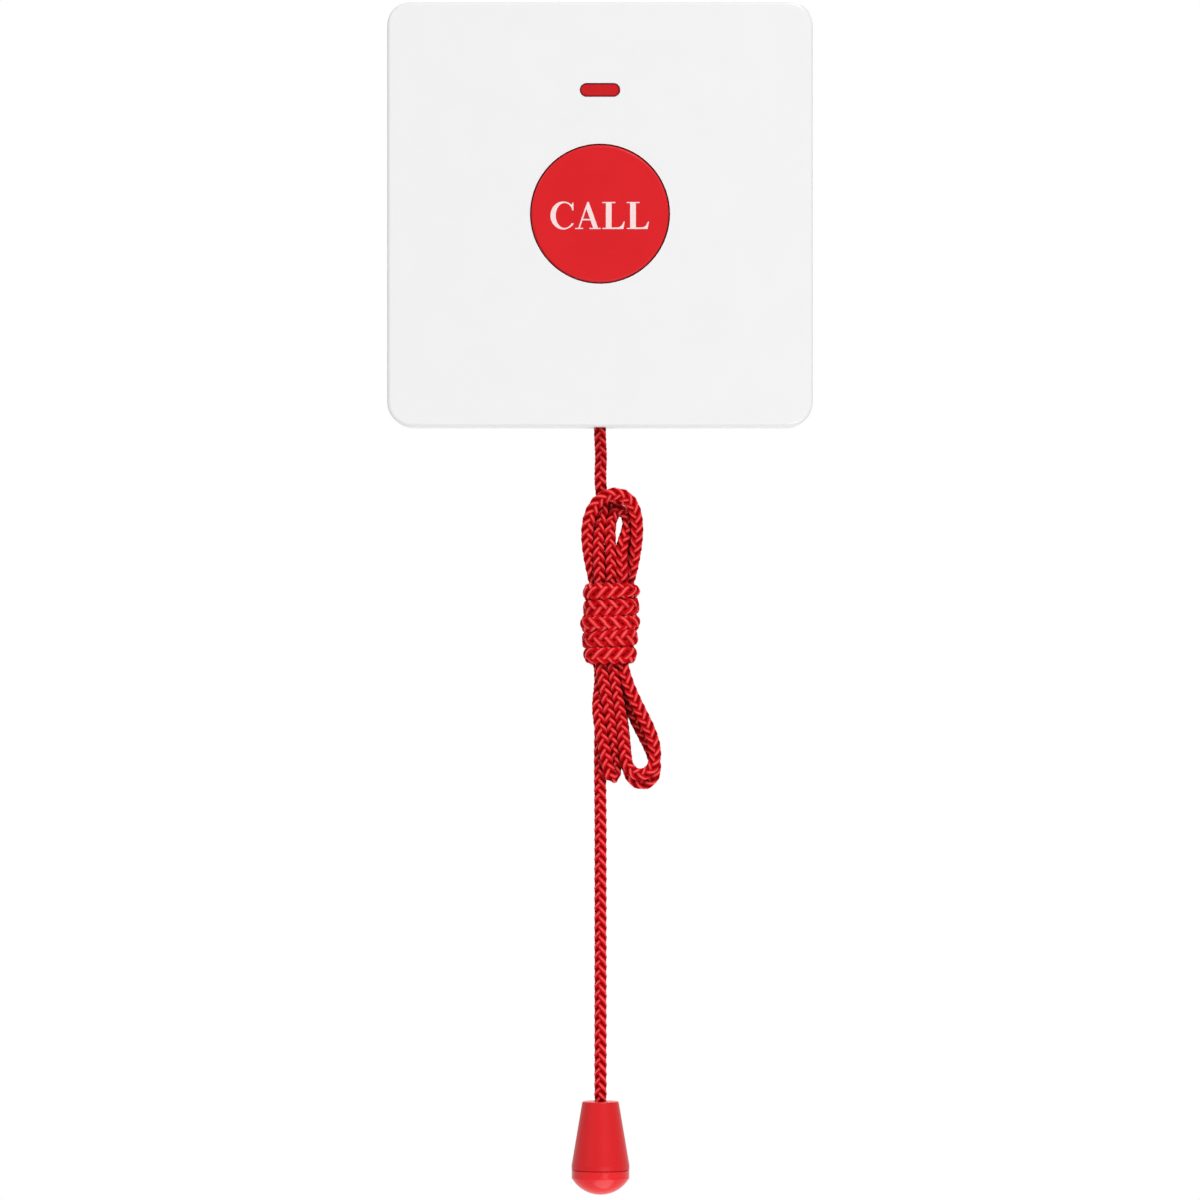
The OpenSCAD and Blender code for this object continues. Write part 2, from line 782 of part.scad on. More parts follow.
module micro_outline() {
    low_z = micro_top_z - micro_l;
    difference() {
        translate([micro_x, low_z]) square([micro_w, micro_l]);
        translate([micro_x - over, pivot_z - hinge_notch])
            square([pivot_x - micro_x + over, micro_top_z - pivot_z + hinge_notch + over]);
        translate([pivot_x, pivot_z]) circle(pivot_r + hinge_gap);
        for (z = [low_z + micro_hole_low, micro_top_z - micro_hole_high])
            translate([micro_x + micro_hole_x, z]) circle(micro_hole_r);
    }
}

module pull_switch_body() {
    color("darkslategray") off_wall() difference() {
        translate([0, 0, board_h]) linear_extrude(micro_t) micro_outline();
        translate([micro_x - over, pin_z, micro_h])
            rotate([0, 90, 0]) cylinder(h = pin_l + over, r = pin_r + pin_gap);
    }
}

// The lever's side view: a barrel at its hinge, a flat strip and a formed round tip
module lever_outline() {
    hump_z = cam_tip_z;
    strip_x = lever_back_x - lever_t;
    translate([pivot_x, pivot_z]) circle(pivot_r);
    translate([strip_x, pivot_z - lever_t / 2]) square([pivot_x - strip_x, lever_t]);
    translate([strip_x, hump_z + hump_r - lever_t])
        square([lever_t, pivot_z - hump_z - hump_r + 1.5 * lever_t]);
    difference() {
        union() {
            translate([hump_x + hump_r, hump_z]) circle(hump_r);
            translate([hump_x + hump_r, hump_z - hump_r])
                square([lever_back_x - hump_x - hump_r, 2 * hump_r]);
        }
        translate([hump_x + hump_r, hump_z]) circle(hump_r - lever_t);
        translate([hump_x + hump_r, hump_z - hump_r + lever_t])
            square([lever_back_x - hump_x - hump_r + over, 2 * (hump_r - lever_t)]);
    }
}

module pull_switch_lever() {
    color("silver") off_wall() translate([0, 0, micro_h - lever_w / 2])
        linear_extrude(lever_w) lever_outline();
}

module pull_switch_plunger() {
    color("white") off_wall() translate([lever_back_x + seat_gap, pin_z, micro_h])
        rotate([0, 90, 0]) cylinder(h = pin_l, r = pin_r);
}

// Places its children at each way of the terminal block
module at_ways() {
    for (k = [0 : term_ways - 1])
        translate([term_x + (k - (term_ways - 1) / 2) * term_pitch, 0, 0]) children();
}

module terminal_block() {
    depth = term_z1 - term_z0;
    top_h = board_h + term_tall;
    color("forestgreen") off_wall() difference() {
        translate([term_x - term_w / 2, term_z0, board_h]) cube([term_w, depth, term_tall]);
        at_ways() {
            translate([-wire_w / 2, term_z1 - wire_l, board_h + wire_low])
                cube([wire_w, wire_l + over, wire_h]);
            translate([0, term_z0 + depth * term_screw_place, top_h - term_screw_down])
                cylinder(h = term_screw_down + over, r = term_screw_r + term_screw_gap);
        }
        translate([term_x - term_w / 2 - over, term_z0 - over, top_h - term_step_h])
            cube([term_w + 2 * over, term_step_w, term_step_h + over]);
    }
}

module terminal_screws() {
    depth = term_z1 - term_z0;
    color("silver") off_wall() at_ways()
        translate([0, term_z0 + depth * term_screw_place, board_h + term_tall - term_screw_down])
            difference() {
                cylinder(h = term_screw_l, r = term_screw_r);
                translate([-term_screw_r, -slot_t / 2, term_screw_l - term_slot_t])
                    cube([2 * term_screw_r, slot_t, term_slot_t + over]);
            }
}

// The cam leg below the slider, seen from the front
module cam_outline() {
    polygon([
        [cam_in_x, slider_low_z + cam_root], [cam_in_x, cam_foot_z], [cam_x - cam_nose_w, cam_foot_z],
        [cam_x, cam_foot_z + cam_nose_h], [cam_x, cam_tip_z],
        [cam_x + cam_slope * pull_travel, cam_top_z], [slider_w / 2, cam_top_z],
        [slider_w / 2, slider_low_z + cam_root]
    ]);
}

module pull_slider() {
    color("ivory") difference() {
        union() {
            translate([-slider_w / 2, -cord_h - slider_t / 2, slider_low_z])
                cube([slider_w, slider_t, slider_l]);
            off_wall() translate([0, 0, micro_h - cam_t / 2]) linear_extrude(cam_t) cam_outline();
        }
        translate([0, -cord_h, pocket_floor_z]) cylinder(h = slider_l, r = pocket_r);
        translate([0, -cord_h, slider_low_z - over]) cylinder(h = slider_l, r = cord_hole_r);
        translate([0, -cord_h, slider_low_z - over]) cylinder(h = spring_seat + over, r = seat_r);
    }
}

module pull_spring() {
    length = spring_rest_l + spring_seat - 2 * seat_gap;
    color("silver") translate([0, -cord_h, bush_top_z + seat_gap])
        tube(coil(pull_coil_r, pull_turns, length, pull_wire_d, 16), pull_wire_d / 2, 6, [0, 0, 1]);
}

module guide_cap_outline() {
    low_z = guide_low_z + end_gap;
    translate([-rail_out, low_z]) square([2 * rail_out, guide_top_z - low_z]);
    for (z = guide_boss_z) {
        translate([guide_boss_x, z]) circle(guide_boss_r);
        translate([guide_boss_x, z - guide_boss_r]) square([guide_boss_r + over, 2 * guide_boss_r]);
    }
}

module guide_cap() {
    color("ivory") off_wall() translate([0, 0, guide_h]) difference() {
        union() {
            linear_extrude(guide_cap_t) guide_cap_outline();
            translate([-cap_rib_w / 2, guide_low_z + cap_rib_end, 0])
                cube([cap_rib_w, guide_top_z - guide_low_z - 2 * cap_rib_end, guide_cap_t + cap_rib_h]);
        }
        for (z = guide_boss_z)
            translate([guide_boss_x, z, -over]) cylinder(h = guide_cap_t + 2 * over, r = screw_r);
    }
}

module guide_screws() {
    color("silver") off_wall() for (z = guide_boss_z)
        translate([guide_boss_x, z, guide_h + guide_cap_t]) pan_screw(guide_cap_t + guide_thread_l);
}

module cord_bush() {
    flange_low = floor_z - mouth_z;
    tall = flange_low + bush_flange_t;
    color("whitesmoke") translate([0, -cord_h, mouth_z]) rotate_extrude() {
        translate([bush_bore_r, bush_lip_r]) square([bush_r - bush_bore_r, tall - bush_lip_r]);
        translate([bush_bore_r + bush_lip_r, 0]) square([bush_r - bush_bore_r - bush_lip_r, tall]);
        translate([bush_bore_r, flange_low]) square([bush_flange_r - bush_bore_r, bush_flange_t]);
        intersection() {
            translate([bush_bore_r + bush_lip_r, bush_lip_r]) circle(bush_lip_r);
            translate([bush_bore_r, 0]) square([bush_lip_r, bush_lip_r]);
        }
    }
}

module top_knot() {
    color("red") translate([0, -cord_h, pocket_floor_z + knot_r + seat_gap]) sphere(knot_r);
}

module inner_cord() {
    low_z = mouth_z + cord_d / 2 + bend_gap;
    color("red") translate([0, -cord_h, low_z])
        cylinder(h = pocket_floor_z + cord_end - low_z, r = cord_d / 2);
}

module cord_bend() {
    color("red") below_mouth() sphere(cord_d / 2);
}

module cord_upper() {
    color("red") below_mouth()
        tube(upper_route, cord_d / 2, cord_sides, [0, 1, 0]);
}

module lobes(rows) {
    hull() for (row = rows)
        translate([row[0], row[1]]) circle(row[2], $fn = 32);
}

module cord_hank() {
    color("red") below_mouth() {
        translate([wrap_x, 0, wrap_low]) linear_extrude(wrap_top - wrap_low) stadium(wrap_w, wrap_t);
        translate([0, loops_t / 2, 0]) off_wall() {
            linear_extrude(loops_t) lobes(upper_lobes);
            linear_extrude(loops_t) lobes(lower_lobes);
        }
    }
}

module cord_lower() {
    route = [
        for (p = lower_route) if (p[2] > pull_top_z + 4) p,
        [pull_x, 0, pull_top_z - pull_top_t - cord_end]
    ];
    color("red") below_mouth() tube(route, cord_d / 2, cord_sides, [0, 1, 0]);
}

module pull_outline() {
    top_r = pull_top_d / 2;
    wide_r = pull_d / 2;
    e = pull_edge_r;
    rounding = [for (a = [90 : -15 : 0]) [top_r - e + e * cos(a), -e + e * sin(a)]];
    low = -pull_body_l;
    polygon([
        [0, 0], each rounding, [wide_r, low + skirt_l], [wide_r, low + parting_r],
        [wide_r - parting_r, low], [0, low]
    ]);
}

module pull_cavity() {
    wide_r = pull_d / 2 - pull_wall_t;
    low = -pull_body_l - over;
    polygon([
        [0, -pull_top_t], [pull_top_d / 2 - pull_wall_t, -pull_top_t],
        [wide_r, -pull_body_l + spigot_l + cavity_gap], [wide_r, low], [0, low]
    ]);
    translate([0, low]) square([cord_d / 2 + tail_gap, -low + over]);
}

module pull_body() {
    color("firebrick") below_mouth() translate([pull_x, 0, pull_top_z]) rotate_extrude() difference() {
        pull_outline();
        pull_cavity();
    }
}

// The domed end is a slice of a ball that meets the straight rim at the pull's own width
module pull_cap() {
    r = pull_d / 2;
    rim = pull_cap_l - dome_l;
    ball_r = (r * r + dome_l * dome_l) / (2 * dome_l);
    spigot_r = r - pull_wall_t - spigot_fit;
    low_z = pull_top_z - pull_body_l;
    color("red") below_mouth() translate([pull_x, 0, low_z]) rotate_extrude() difference() {
        union() {
            polygon([[0, -rim], [r, -rim], [r, -parting_r], [r - parting_r, 0], [0, 0]]);
            square([spigot_r, spigot_l]);
            intersection() {
                translate([0, ball_r - pull_cap_l]) circle(ball_r, $fn = 192);
                translate([0, -pull_cap_l]) square([r, dome_l]);
            }
        }
        translate([0, -rim]) square([spigot_r - pull_wall_t, rim + spigot_l + over]);
    }
}

module pull_knot() {
    color("red") below_mouth()
        translate([pull_x, 0, pull_top_z - pull_top_t - pull_knot_r - seat_gap]) sphere(pull_knot_r);
}

front_cover();
rear_base();
call_button();
button_spring();
button_retainer();
retainer_screws();
indicator_lens();
indicator_led();
circuit_board();
board_screws();
board_parts();
push_switch_body();
push_switch_plunger();
pull_switch_body();
pull_switch_lever();
pull_switch_plunger();
terminal_block();
terminal_screws();
pull_slider();
pull_spring();
guide_cap();
guide_screws();
cord_bush();
top_knot();
inner_cord();
cord_bend();
cord_upper();
cord_hank();
cord_lower();
pull_body();
pull_cap();
pull_knot();
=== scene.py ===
"""Looks of a pull cord switch on a wall plate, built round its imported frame.

Lengths are in millimetres in every class, and metres() turns them into the frame's metres.
X runs to the right, Y into the wall and Z up, from the middle of the plate on the wall's surface.
"""

import logging
import math
from abc import ABC, abstractmethod
from collections.abc import Callable, Sequence
from dataclasses import dataclass
from enum import Enum
from functools import cache, partial
from typing import ClassVar

import bpy
import numpy as np
from bpy.types import Material, Node, NodeOutputs, NodeSocket, NodeTree, Object
from mathutils import Matrix, Vector


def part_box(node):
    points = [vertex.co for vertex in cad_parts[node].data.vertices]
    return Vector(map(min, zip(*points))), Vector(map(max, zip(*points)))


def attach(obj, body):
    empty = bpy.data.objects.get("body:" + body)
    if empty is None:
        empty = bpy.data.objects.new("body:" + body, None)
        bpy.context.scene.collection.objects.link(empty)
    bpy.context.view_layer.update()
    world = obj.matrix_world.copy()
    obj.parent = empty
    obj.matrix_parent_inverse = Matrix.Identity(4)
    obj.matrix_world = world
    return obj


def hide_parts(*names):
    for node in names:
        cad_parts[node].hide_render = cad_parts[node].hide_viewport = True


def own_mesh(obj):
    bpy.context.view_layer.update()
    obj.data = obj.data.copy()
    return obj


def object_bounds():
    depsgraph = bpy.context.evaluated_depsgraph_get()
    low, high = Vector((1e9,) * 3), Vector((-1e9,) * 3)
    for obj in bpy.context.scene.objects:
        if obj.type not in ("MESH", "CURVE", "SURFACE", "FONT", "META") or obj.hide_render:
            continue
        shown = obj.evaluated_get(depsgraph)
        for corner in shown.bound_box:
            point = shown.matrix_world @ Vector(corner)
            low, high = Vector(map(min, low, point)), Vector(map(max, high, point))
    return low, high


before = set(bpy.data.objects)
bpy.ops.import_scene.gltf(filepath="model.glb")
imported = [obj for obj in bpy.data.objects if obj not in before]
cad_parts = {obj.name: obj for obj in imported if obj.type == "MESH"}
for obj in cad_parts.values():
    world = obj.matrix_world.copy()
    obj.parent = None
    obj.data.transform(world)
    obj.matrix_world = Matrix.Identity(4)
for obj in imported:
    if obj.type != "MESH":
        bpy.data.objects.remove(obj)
cad_box = [list(corner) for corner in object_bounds()]

LOG = logging.getLogger("pull_cord_switch")
MM = 0.001
TURN = 2 * math.pi

# Node types that the trees use most, and the colour sockets of a Mix node, whose names aren't unique
MATH, VECTOR_MATH, MAP_RANGE, NOISE, PRINCIPLED = (
    "ShaderNodeMath", "ShaderNodeVectorMath", "ShaderNodeMapRange", "ShaderNodeTexNoise", "ShaderNodeBsdfPrincipled")
COLOUR_A, COLOUR_B, COLOUR_OUT = 6, 7, 2
# Where nearly all of a Noise node's values lie, and the bands that a Wave node draws at a scale of 1
NOISE_SPAN = {"From Min": 0.3, "From Max": 0.7}
WAVE_BANDS = 20
# Points worked out in each stretch of a smooth line, and in each turn of a coil
CURVE_STEPS = 12
COIL_STEPS = 40

Point = tuple[float, float, float]
Adder = Callable[..., Node]


# ---------------------------------------------------------------- helpers


def metres(x: float, y: float, z: float) -> Vector:
    """Turns a place in millimetres into the frame's metres."""
    return Vector((x, y, z)) * MM


def linear(colour: str) -> tuple[float, float, float, float]:
    """Turns an sRGB hex colour into linear light.

    Args:
        colour: Six hex digits, such as "F2F2F0".

    Returns:
        Linear red, green, blue and alpha.
    """
    channels = [int(colour[i : i + 2], 16) / 255 for i in (0, 2, 4)]
    light = [c / 12.92 if c <= 0.04045 else ((c + 0.055) / 1.055) ** 2.4 for c in channels]
    return (light[0], light[1], light[2], 1.0)


def add_node(tree: NodeTree, kind: str, inputs: dict | list | None = None, **settings: object) -> Node:
    """Adds a node with its settings and its links or constants.

    Args:
        tree: The material, world or geometry tree that takes the node.
        kind: The node's type name.
        inputs: By name or index, or in order: a constant, another node's socket, or a node for its first socket.
        settings: The node's own properties by name.

    Returns:
        The new node.
    """
    node = tree.nodes.new(kind)
    for name, value in settings.items():
        setattr(node, name, value)
    by_key = dict(enumerate(inputs)) if isinstance(inputs, list) else inputs or {}
    for key, value in by_key.items():
        if isinstance(value, (Node, NodeSocket)):
            source = value.outputs[0] if isinstance(value, Node) else value
            tree.links.new(source, node.inputs[key])
        else:
            node.inputs[key].default_value = value
    return node


def mesh_piece(name: str, points: Sequence[Sequence[float]], edges: Sequence[tuple[int, int]] = (),
               faces: Sequence[Sequence[int]] = ()) -> Object:
    """Makes a mesh object at the origin.

    Args:
        name: The piece's name.
        points: Its points in metres.
        edges: Its loose edges, by point numbers.
        faces: Its faces, by point numbers.

    Returns:
        The new object.
    """
    mesh = bpy.data.meshes.new(name)
    mesh.from_pydata([tuple(p) for p in points], list(edges), [tuple(f) for f in faces])
    piece = bpy.data.objects.new(name, mesh)
    bpy.context.scene.collection.objects.link(piece)
    return piece


def line_piece(name: str, points: np.ndarray) -> Object:
    """Makes an open line of edges through points in metres, which a node tree then turns into a solid."""
    return mesh_piece(name, points, [(i, i + 1) for i in range(len(points) - 1)])


def run_tree(piece: Object, tree: NodeTree, values: dict) -> Object:
    """Runs a geometry tree on a piece and keeps the result as the piece's own plain mesh.

    Args:
        piece: The object whose mesh goes into the tree.
        tree: The geometry tree.
        values: The tree's named inputs.

    Returns:
        The same piece, with no modifier on it.
    """
    modifier = piece.modifiers.new("made", "NODES")
    modifier.node_group = tree
    sockets = {s.name: s.identifier for s in tree.interface.items_tree if s.in_out == "INPUT"}
    for name, value in values.items():
        modifier[sockets[name]] = value
    graph = bpy.context.evaluated_depsgraph_get()
    made = bpy.data.meshes.new_from_object(piece.evaluated_get(graph), preserve_all_data_layers=True,
                                           depsgraph=graph)
    piece.modifiers.clear()
    piece.data = made
    return piece


def new_geometry_tree(name: str, inputs: dict[str, str]) -> tuple[NodeTree, Adder, NodeOutputs]:
    """Starts a geometry tree with a mesh in, a mesh out and named inputs.

    Args:
        name: The tree's name.
        inputs: Each further input's socket type, by its name.

    Returns:
        The tree, what adds a node to it, and its given sockets by name.
    """
    tree = bpy.data.node_groups.new(name, "GeometryNodeTree")
    for label, kind in {"Geometry": "Geometry", **inputs}.items():
        tree.interface.new_socket(name=label, in_out="INPUT", socket_type="NodeSocket" + kind)
    tree.interface.new_socket(name="Geometry", in_out="OUTPUT", socket_type="NodeSocketGeometry")
    add = partial(add_node, tree)
    return tree, add, add("NodeGroupInput").outputs


def end_geometry_tree(add: Adder, shape: Node, material: NodeSocket) -> None:
    """Ends a geometry tree: smooth shading, plain meshes in place of instances, and the material.

    Args:
        add: Adds a node to the tree.
        shape: The node that makes the shape.
        material: The material's given socket.
    """
    soft = add("GeometryNodeSetShadeSmooth", {"Geometry": shape})
    real = add("GeometryNodeRealizeInstances", {"Geometry": soft})
    dyed = add("GeometryNodeSetMaterial", {"Geometry": real, "Material": material})
    add("NodeGroupOutput", {"Geometry": dyed})


def seen_rays(add: Adder) -> Node:
    """Marks the rays that show the white room: those of the camera, of gloss and of clear plastic.

    Args:
        add: Adds a node to a material's or the world's tree.

    Returns:
        A node that gives 1 to such a ray and 0 to the light that falls on things.
    """
    rays = add("ShaderNodeLightPath").outputs
    seen = add(MATH, [rays["Is Camera Ray"], rays["Is Glossy Ray"]], operation="MAXIMUM")
    return add(MATH, [seen, rays["Is Transmission Ray"]], operation="MAXIMUM")


def smooth_line(points: Sequence[Point], step: float) -> np.ndarray:
    """Runs one smooth curve through chosen points, as a centripetal Catmull-Rom spline.

    Args:
        points: The chosen points in millimetres.
        step: The distance between the returned points.

    Returns:
        Evenly spaced points in millimetres, one row each.
    """
    given = np.array(points, float)
    p = np.vstack([2 * given[0] - given[1], given, 2 * given[-1] - given[-2]])
    dense = []
    for a, b, c, d in zip(p, p[1:], p[2:], p[3:]):
        knots = np.cumsum([0] + [max(np.linalg.norm(v - u), 1e-6) ** 0.5 for u, v in ((a, b), (b, c), (c, d))])
        for t in np.linspace(knots[1], knots[2], CURVE_STEPS, endpoint=False):
            ab = (a * (knots[1] - t) + b * (t - knots[0])) / (knots[1] - knots[0])
            bc = (b * (knots[2] - t) + c * (t - knots[1])) / (knots[2] - knots[1])
            cd = (c * (knots[3] - t) + d * (t - knots[2])) / (knots[3] - knots[2])
            abc = (ab * (knots[2] - t) + bc * (t - knots[0])) / (knots[2] - knots[0])
            bcd = (bc * (knots[3] - t) + cd * (t - knots[1])) / (knots[3] - knots[1])
            dense.append((abc * (knots[2] - t) + bcd * (t - knots[1])) / (knots[2] - knots[1]))
    return even_line(np.array(dense + [p[-2]]), step)


def even_line(line: np.ndarray, step: float) -> np.ndarray:
    """Spaces the points of a line evenly.

    Args:
        line: The line's points, one row each.
        step: The distance between the returned points.

    Returns:
        The same line, with even steps.
    """
    runs = np.concatenate([[0], np.cumsum(np.linalg.norm(np.diff(line, axis=0), axis=1))])
    places = np.linspace(0, runs[-1], max(2, round(runs[-1] / step) + 1))
    return np.column_stack([np.interp(places, runs, line[:, k]) for k in range(3)])


def line_length(line: np.ndarray) -> float:
    """Adds up the length of a line."""
    return float(np.linalg.norm(np.diff(line, axis=0), axis=1).sum())


# ---------------------------------------------------------------- finishes


class Finish(ABC):
    """A real surface finish, which makes its Blender material once."""

    name: str

    @cache
    def material(self) -> Material:
        """Makes the finish's material on first use.

        Returns:
            The material.
        """
        made = bpy.data.materials.new(self.name)
        made.use_nodes = True
        made.node_tree.nodes.clear()
        add = partial(add_node, made.node_tree)
        add("ShaderNodeOutputMaterial", {"Surface": self.shade(add)})
        return made

    @abstractmethod
    def shade(self, add: Adder) -> Node:
        """Builds the shader with the tree's adder, and gives the node that goes to the surface."""


class Moulding(Enum):
    """How a moulding tool's surface was finished: grain spacing in millimetres and its bump's depth."""

    POLISHED = (1.6, 0.0015)
    SATIN = (0.5, 0.003)
    SPARKED = (0.22, 0.012)


@dataclass(frozen=True)
class MouldedPlastic(Finish):
    """Injection-moulded plastic, such as ABS or nylon.

    A clean, even colour with a soft highlight. The tool's faint ripple breaks up reflections, the
    gloss varies a little where the plastic flowed, and narrow creases are darkened with painted shade.
    """

    name: str
    colour: str
    roughness: float = 0.34
    moulding: Moulding = Moulding.SATIN
    mottle: float = 0.03
    reflection: float = 0.5
    crease: float = 0.02
    painted_crease_shade: float = 0.12
    flow: float = 9.0
    gloss_spread: float = 0.08

    def shade(self, add: Adder) -> Node:
        """Builds a coloured dielectric with flow mottling, varied gloss, tool grain and painted shade in creases.

        Args:
            add: Adds a node to the material's tree.

        Returns:
            The node that goes to the surface.
        """
        grain, depth = self.moulding.value
        place = add("ShaderNodeTexCoord").outputs["Object"]
        flow = add(NOISE, {"Vector": place, "Scale": 1 / (self.flow * MM), "Detail": 3.0})
        shift = add(MAP_RANGE, {**NOISE_SPAN, "Value": flow, "To Min": 1 - self.mottle, "To Max": 1 + self.mottle})
        tint = add(VECTOR_MATH, {0: linear(self.colour)[:3], "Scale": shift}, operation="SCALE")
        # Painted shade: an ambient occlusion node darkens the colour in creases within the crease distance.
        open_share = add("ShaderNodeAmbientOcclusion", {"Distance": self.crease * MM}, samples=8).outputs["AO"]
        occlusion_shade = add(MAP_RANGE, {
            "Value": open_share, "From Min": 0.5, "From Max": 0.9, "To Min": self.painted_crease_shade, "To Max": 1.0})
        painted_shade_step = add(VECTOR_MATH, {0: tint, "Scale": occlusion_shade}, operation="SCALE")
        gloss = add(MAP_RANGE, {
            **NOISE_SPAN, "Value": flow, "To Min": self.roughness * (1 - self.gloss_spread),
            "To Max": self.roughness * (1 + self.gloss_spread)})
        ripple = add(NOISE, {"Vector": place, "Scale": 1 / (grain * MM), "Detail": 2.0})
        bump = add("ShaderNodeBump", {"Strength": 0.6, "Distance": depth * MM, "Height": ripple})
        return add(PRINCIPLED, {
            "Base Color": painted_shade_step, "Roughness": gloss, "IOR": 1.53, "Specular IOR Level": self.reflection, "Normal": bump})


@dataclass(frozen=True)
class TintedLens(Finish):
    """Tinted polycarbonate with a frosted back.

    It looks deep and even in colour, with a clear gloss on top, and passes a little light.
    """

    name: str
    colour: str
    cloud: float = 2.5
    frost_depth: float = 0.01

    def shade(self, add: Adder) -> Node:
        """Builds a tinted, partly transmissive body with a fine frosted cloudiness.

        Args:
            add: Adds a node to the material's tree.

        Returns:
            The node that goes to the surface.
        """
        place = add("ShaderNodeTexCoord").outputs["Object"]
        cloud = add(NOISE, {"Vector": place, "Scale": 1 / (self.cloud * MM), "Detail": 4.0})
        shift = add(MAP_RANGE, {**NOISE_SPAN, "Value": cloud, "To Min": 0.92, "To Max": 1.08})
        tint = add(VECTOR_MATH, {0: linear(self.colour)[:3], "Scale": shift}, operation="SCALE")
        frost = add("ShaderNodeBump", {"Strength": 0.3, "Distance": self.frost_depth * MM, "Height": cloud})
        return add(PRINCIPLED, {
            "Base Color": tint, "Roughness": 0.3, "IOR": 1.585, "Specular IOR Level": 0.2, "Transmission Weight": 0.06,
            "Normal": frost})


@dataclass(frozen=True)
class BraidedYarn(Finish):
    """Spun polyester yarn, braided tightly.

    Each yarn carries a painted highlight along its crest, where its gloss is raised too, and painted
    shade at its sides, in the hollows where two yarns cross and where strands lie deep among others.
    """

    name: str
    crest_highlight: str
    body: str
    hollow_shade: str
    low_r: float
    high_r: float
    fibres: int = 9
    fibre_lay: float = 4.0
    fibre_depth: float = 0.03
    fuzz: float = 0.35
    strand_gap: float = 4.0

    def shade(self, add: Adder) -> Node:
        """Builds a fibrous yarn with painted shade that deepens towards the cord's core, and a painted highlight on
        each crest.

        Args:
            add: Adds a node to the material's tree.

        Returns:
            The node that goes to the surface.
        """
        height, run, around = (add("ShaderNodeAttribute", attribute_name=name).outputs["Fac"]
                               for name in ("yarn_height", "yarn_run", "yarn_around"))
        # Painted shade: the colour runs from the hollow colour to the body colour as the surface rises from the cord's
        # axis, shifted a little by the fibres.
        lift = add(MAP_RANGE, {
            "Value": height, "From Min": self.low_r * MM,
            "From Max": self.high_r * MM}, interpolation_type="SMOOTHSTEP")
        twist = add(MATH, [run, 1 / (self.fibre_lay * MM), around], operation="MULTIPLY_ADD")
        phase = add(MATH, [twist, self.fibres * TURN], operation="MULTIPLY")
        fibre = add(MATH, [phase], operation="SINE")
        place = add("ShaderNodeTexCoord").outputs["Object"]
        fuzz = add(NOISE, {"Vector": place, "Scale": 1 / (self.fuzz * MM), "Detail": 3.0})
        relief = add(MATH, [fibre, 0.3, fuzz], operation="MULTIPLY_ADD")
        painted_shade_step = add(MAP_RANGE, {"Value": relief, "From Min": 0.1, "From Max": 0.9, "To Min": -0.18, "To Max": 0.18})
        mixing = add(MATH, [lift, painted_shade_step], operation="ADD", use_clamp=True)
        depth_shade = add("ShaderNodeMix", {
            0: mixing, COLOUR_A: linear(self.hollow_shade), COLOUR_B: linear(self.body)}, data_type="RGBA")
        # Painted highlight: the crest colour lies along the outward-facing line of each yarn, where the gloss is raised
        # too.
        turned = add(MATH, [around, 2 * TURN], operation="MULTIPLY")
        outward = add(MATH, [turned], operation="COSINE")
        top = add(MAP_RANGE, {"Value": outward, "From Min": 0.5, "From Max": 1.1}, interpolation_type="SMOOTHSTEP")
        crest_highlight_mask = add(MATH, [top, mixing], operation="MULTIPLY", use_clamp=True)
        colour = add("ShaderNodeMix", {
            0: crest_highlight_mask, COLOUR_A: depth_shade.outputs[COLOUR_OUT], COLOUR_B: linear(self.crest_highlight)}, data_type="RGBA")
        # Painted shade: an ambient occlusion node darkens strands that lie deep among others.
        open_share = add("ShaderNodeAmbientOcclusion", {"Distance": self.strand_gap * MM}, samples=6).outputs["AO"]
        occlusion_shade = add(MAP_RANGE, {"Value": open_share, "From Min": 0.15, "From Max": 0.7, "To Min": 0.3, "To Max": 1.0})
        shaded = add(VECTOR_MATH, {0: colour.outputs[COLOUR_OUT], "Scale": occlusion_shade}, operation="SCALE")
        bump = add("ShaderNodeBump", {"Strength": 0.7, "Distance": self.fibre_depth * MM, "Height": relief})
        gloss = add(MATH, [crest_highlight_mask, 0.5], operation="MULTIPLY")
        return add(PRINCIPLED, {
            "Base Color": shaded, "Roughness": 0.5, "IOR": 1.5, "Specular IOR Level": gloss, "Normal": bump})


@dataclass(frozen=True)
class PlatedSteel(Finish):
    """Zinc-plated or drawn steel.

    A grey metal with fine lines from turning or drawing, and a slightly clouded plating.
    """

    name: str
    colour: str
    roughness: float
    lines: float = 0.12
    line_depth: float = 0.005
    cloud: float = 0.8
    gloss_spread: float = 0.25

    def shade(self, add: Adder) -> Node:
        """Builds a metal with clouded gloss and fine lines.

        Args:
            add: Adds a node to the material's tree.

        Returns:
            The node that goes to the surface.
        """
        place = add("ShaderNodeTexCoord").outputs["Object"]
        cloud = add(NOISE, {"Vector": place, "Scale": 1 / (self.cloud * MM), "Detail": 4.0})
        gloss = add(MAP_RANGE, {
            **NOISE_SPAN, "Value": cloud, "To Min": self.roughness * (1 - self.gloss_spread),
            "To Max": self.roughness * (1 + self.gloss_spread)})
        lathe = add("ShaderNodeTexWave", {
            "Vector": place, "Scale": 1 / (self.lines * MM * WAVE_BANDS), "Distortion": 0.4,
            "Detail": 1.0}, wave_type="RINGS", rings_direction="Y")
        bump = add("ShaderNodeBump", {
            "Strength": 0.3, "Distance": self.line_depth * MM, "Height": lathe.outputs["Fac"]})
        return add(PRINCIPLED, {"Base Color": linear(self.colour), "Metallic": 1.0, "Roughness": gloss, "Normal": bump})


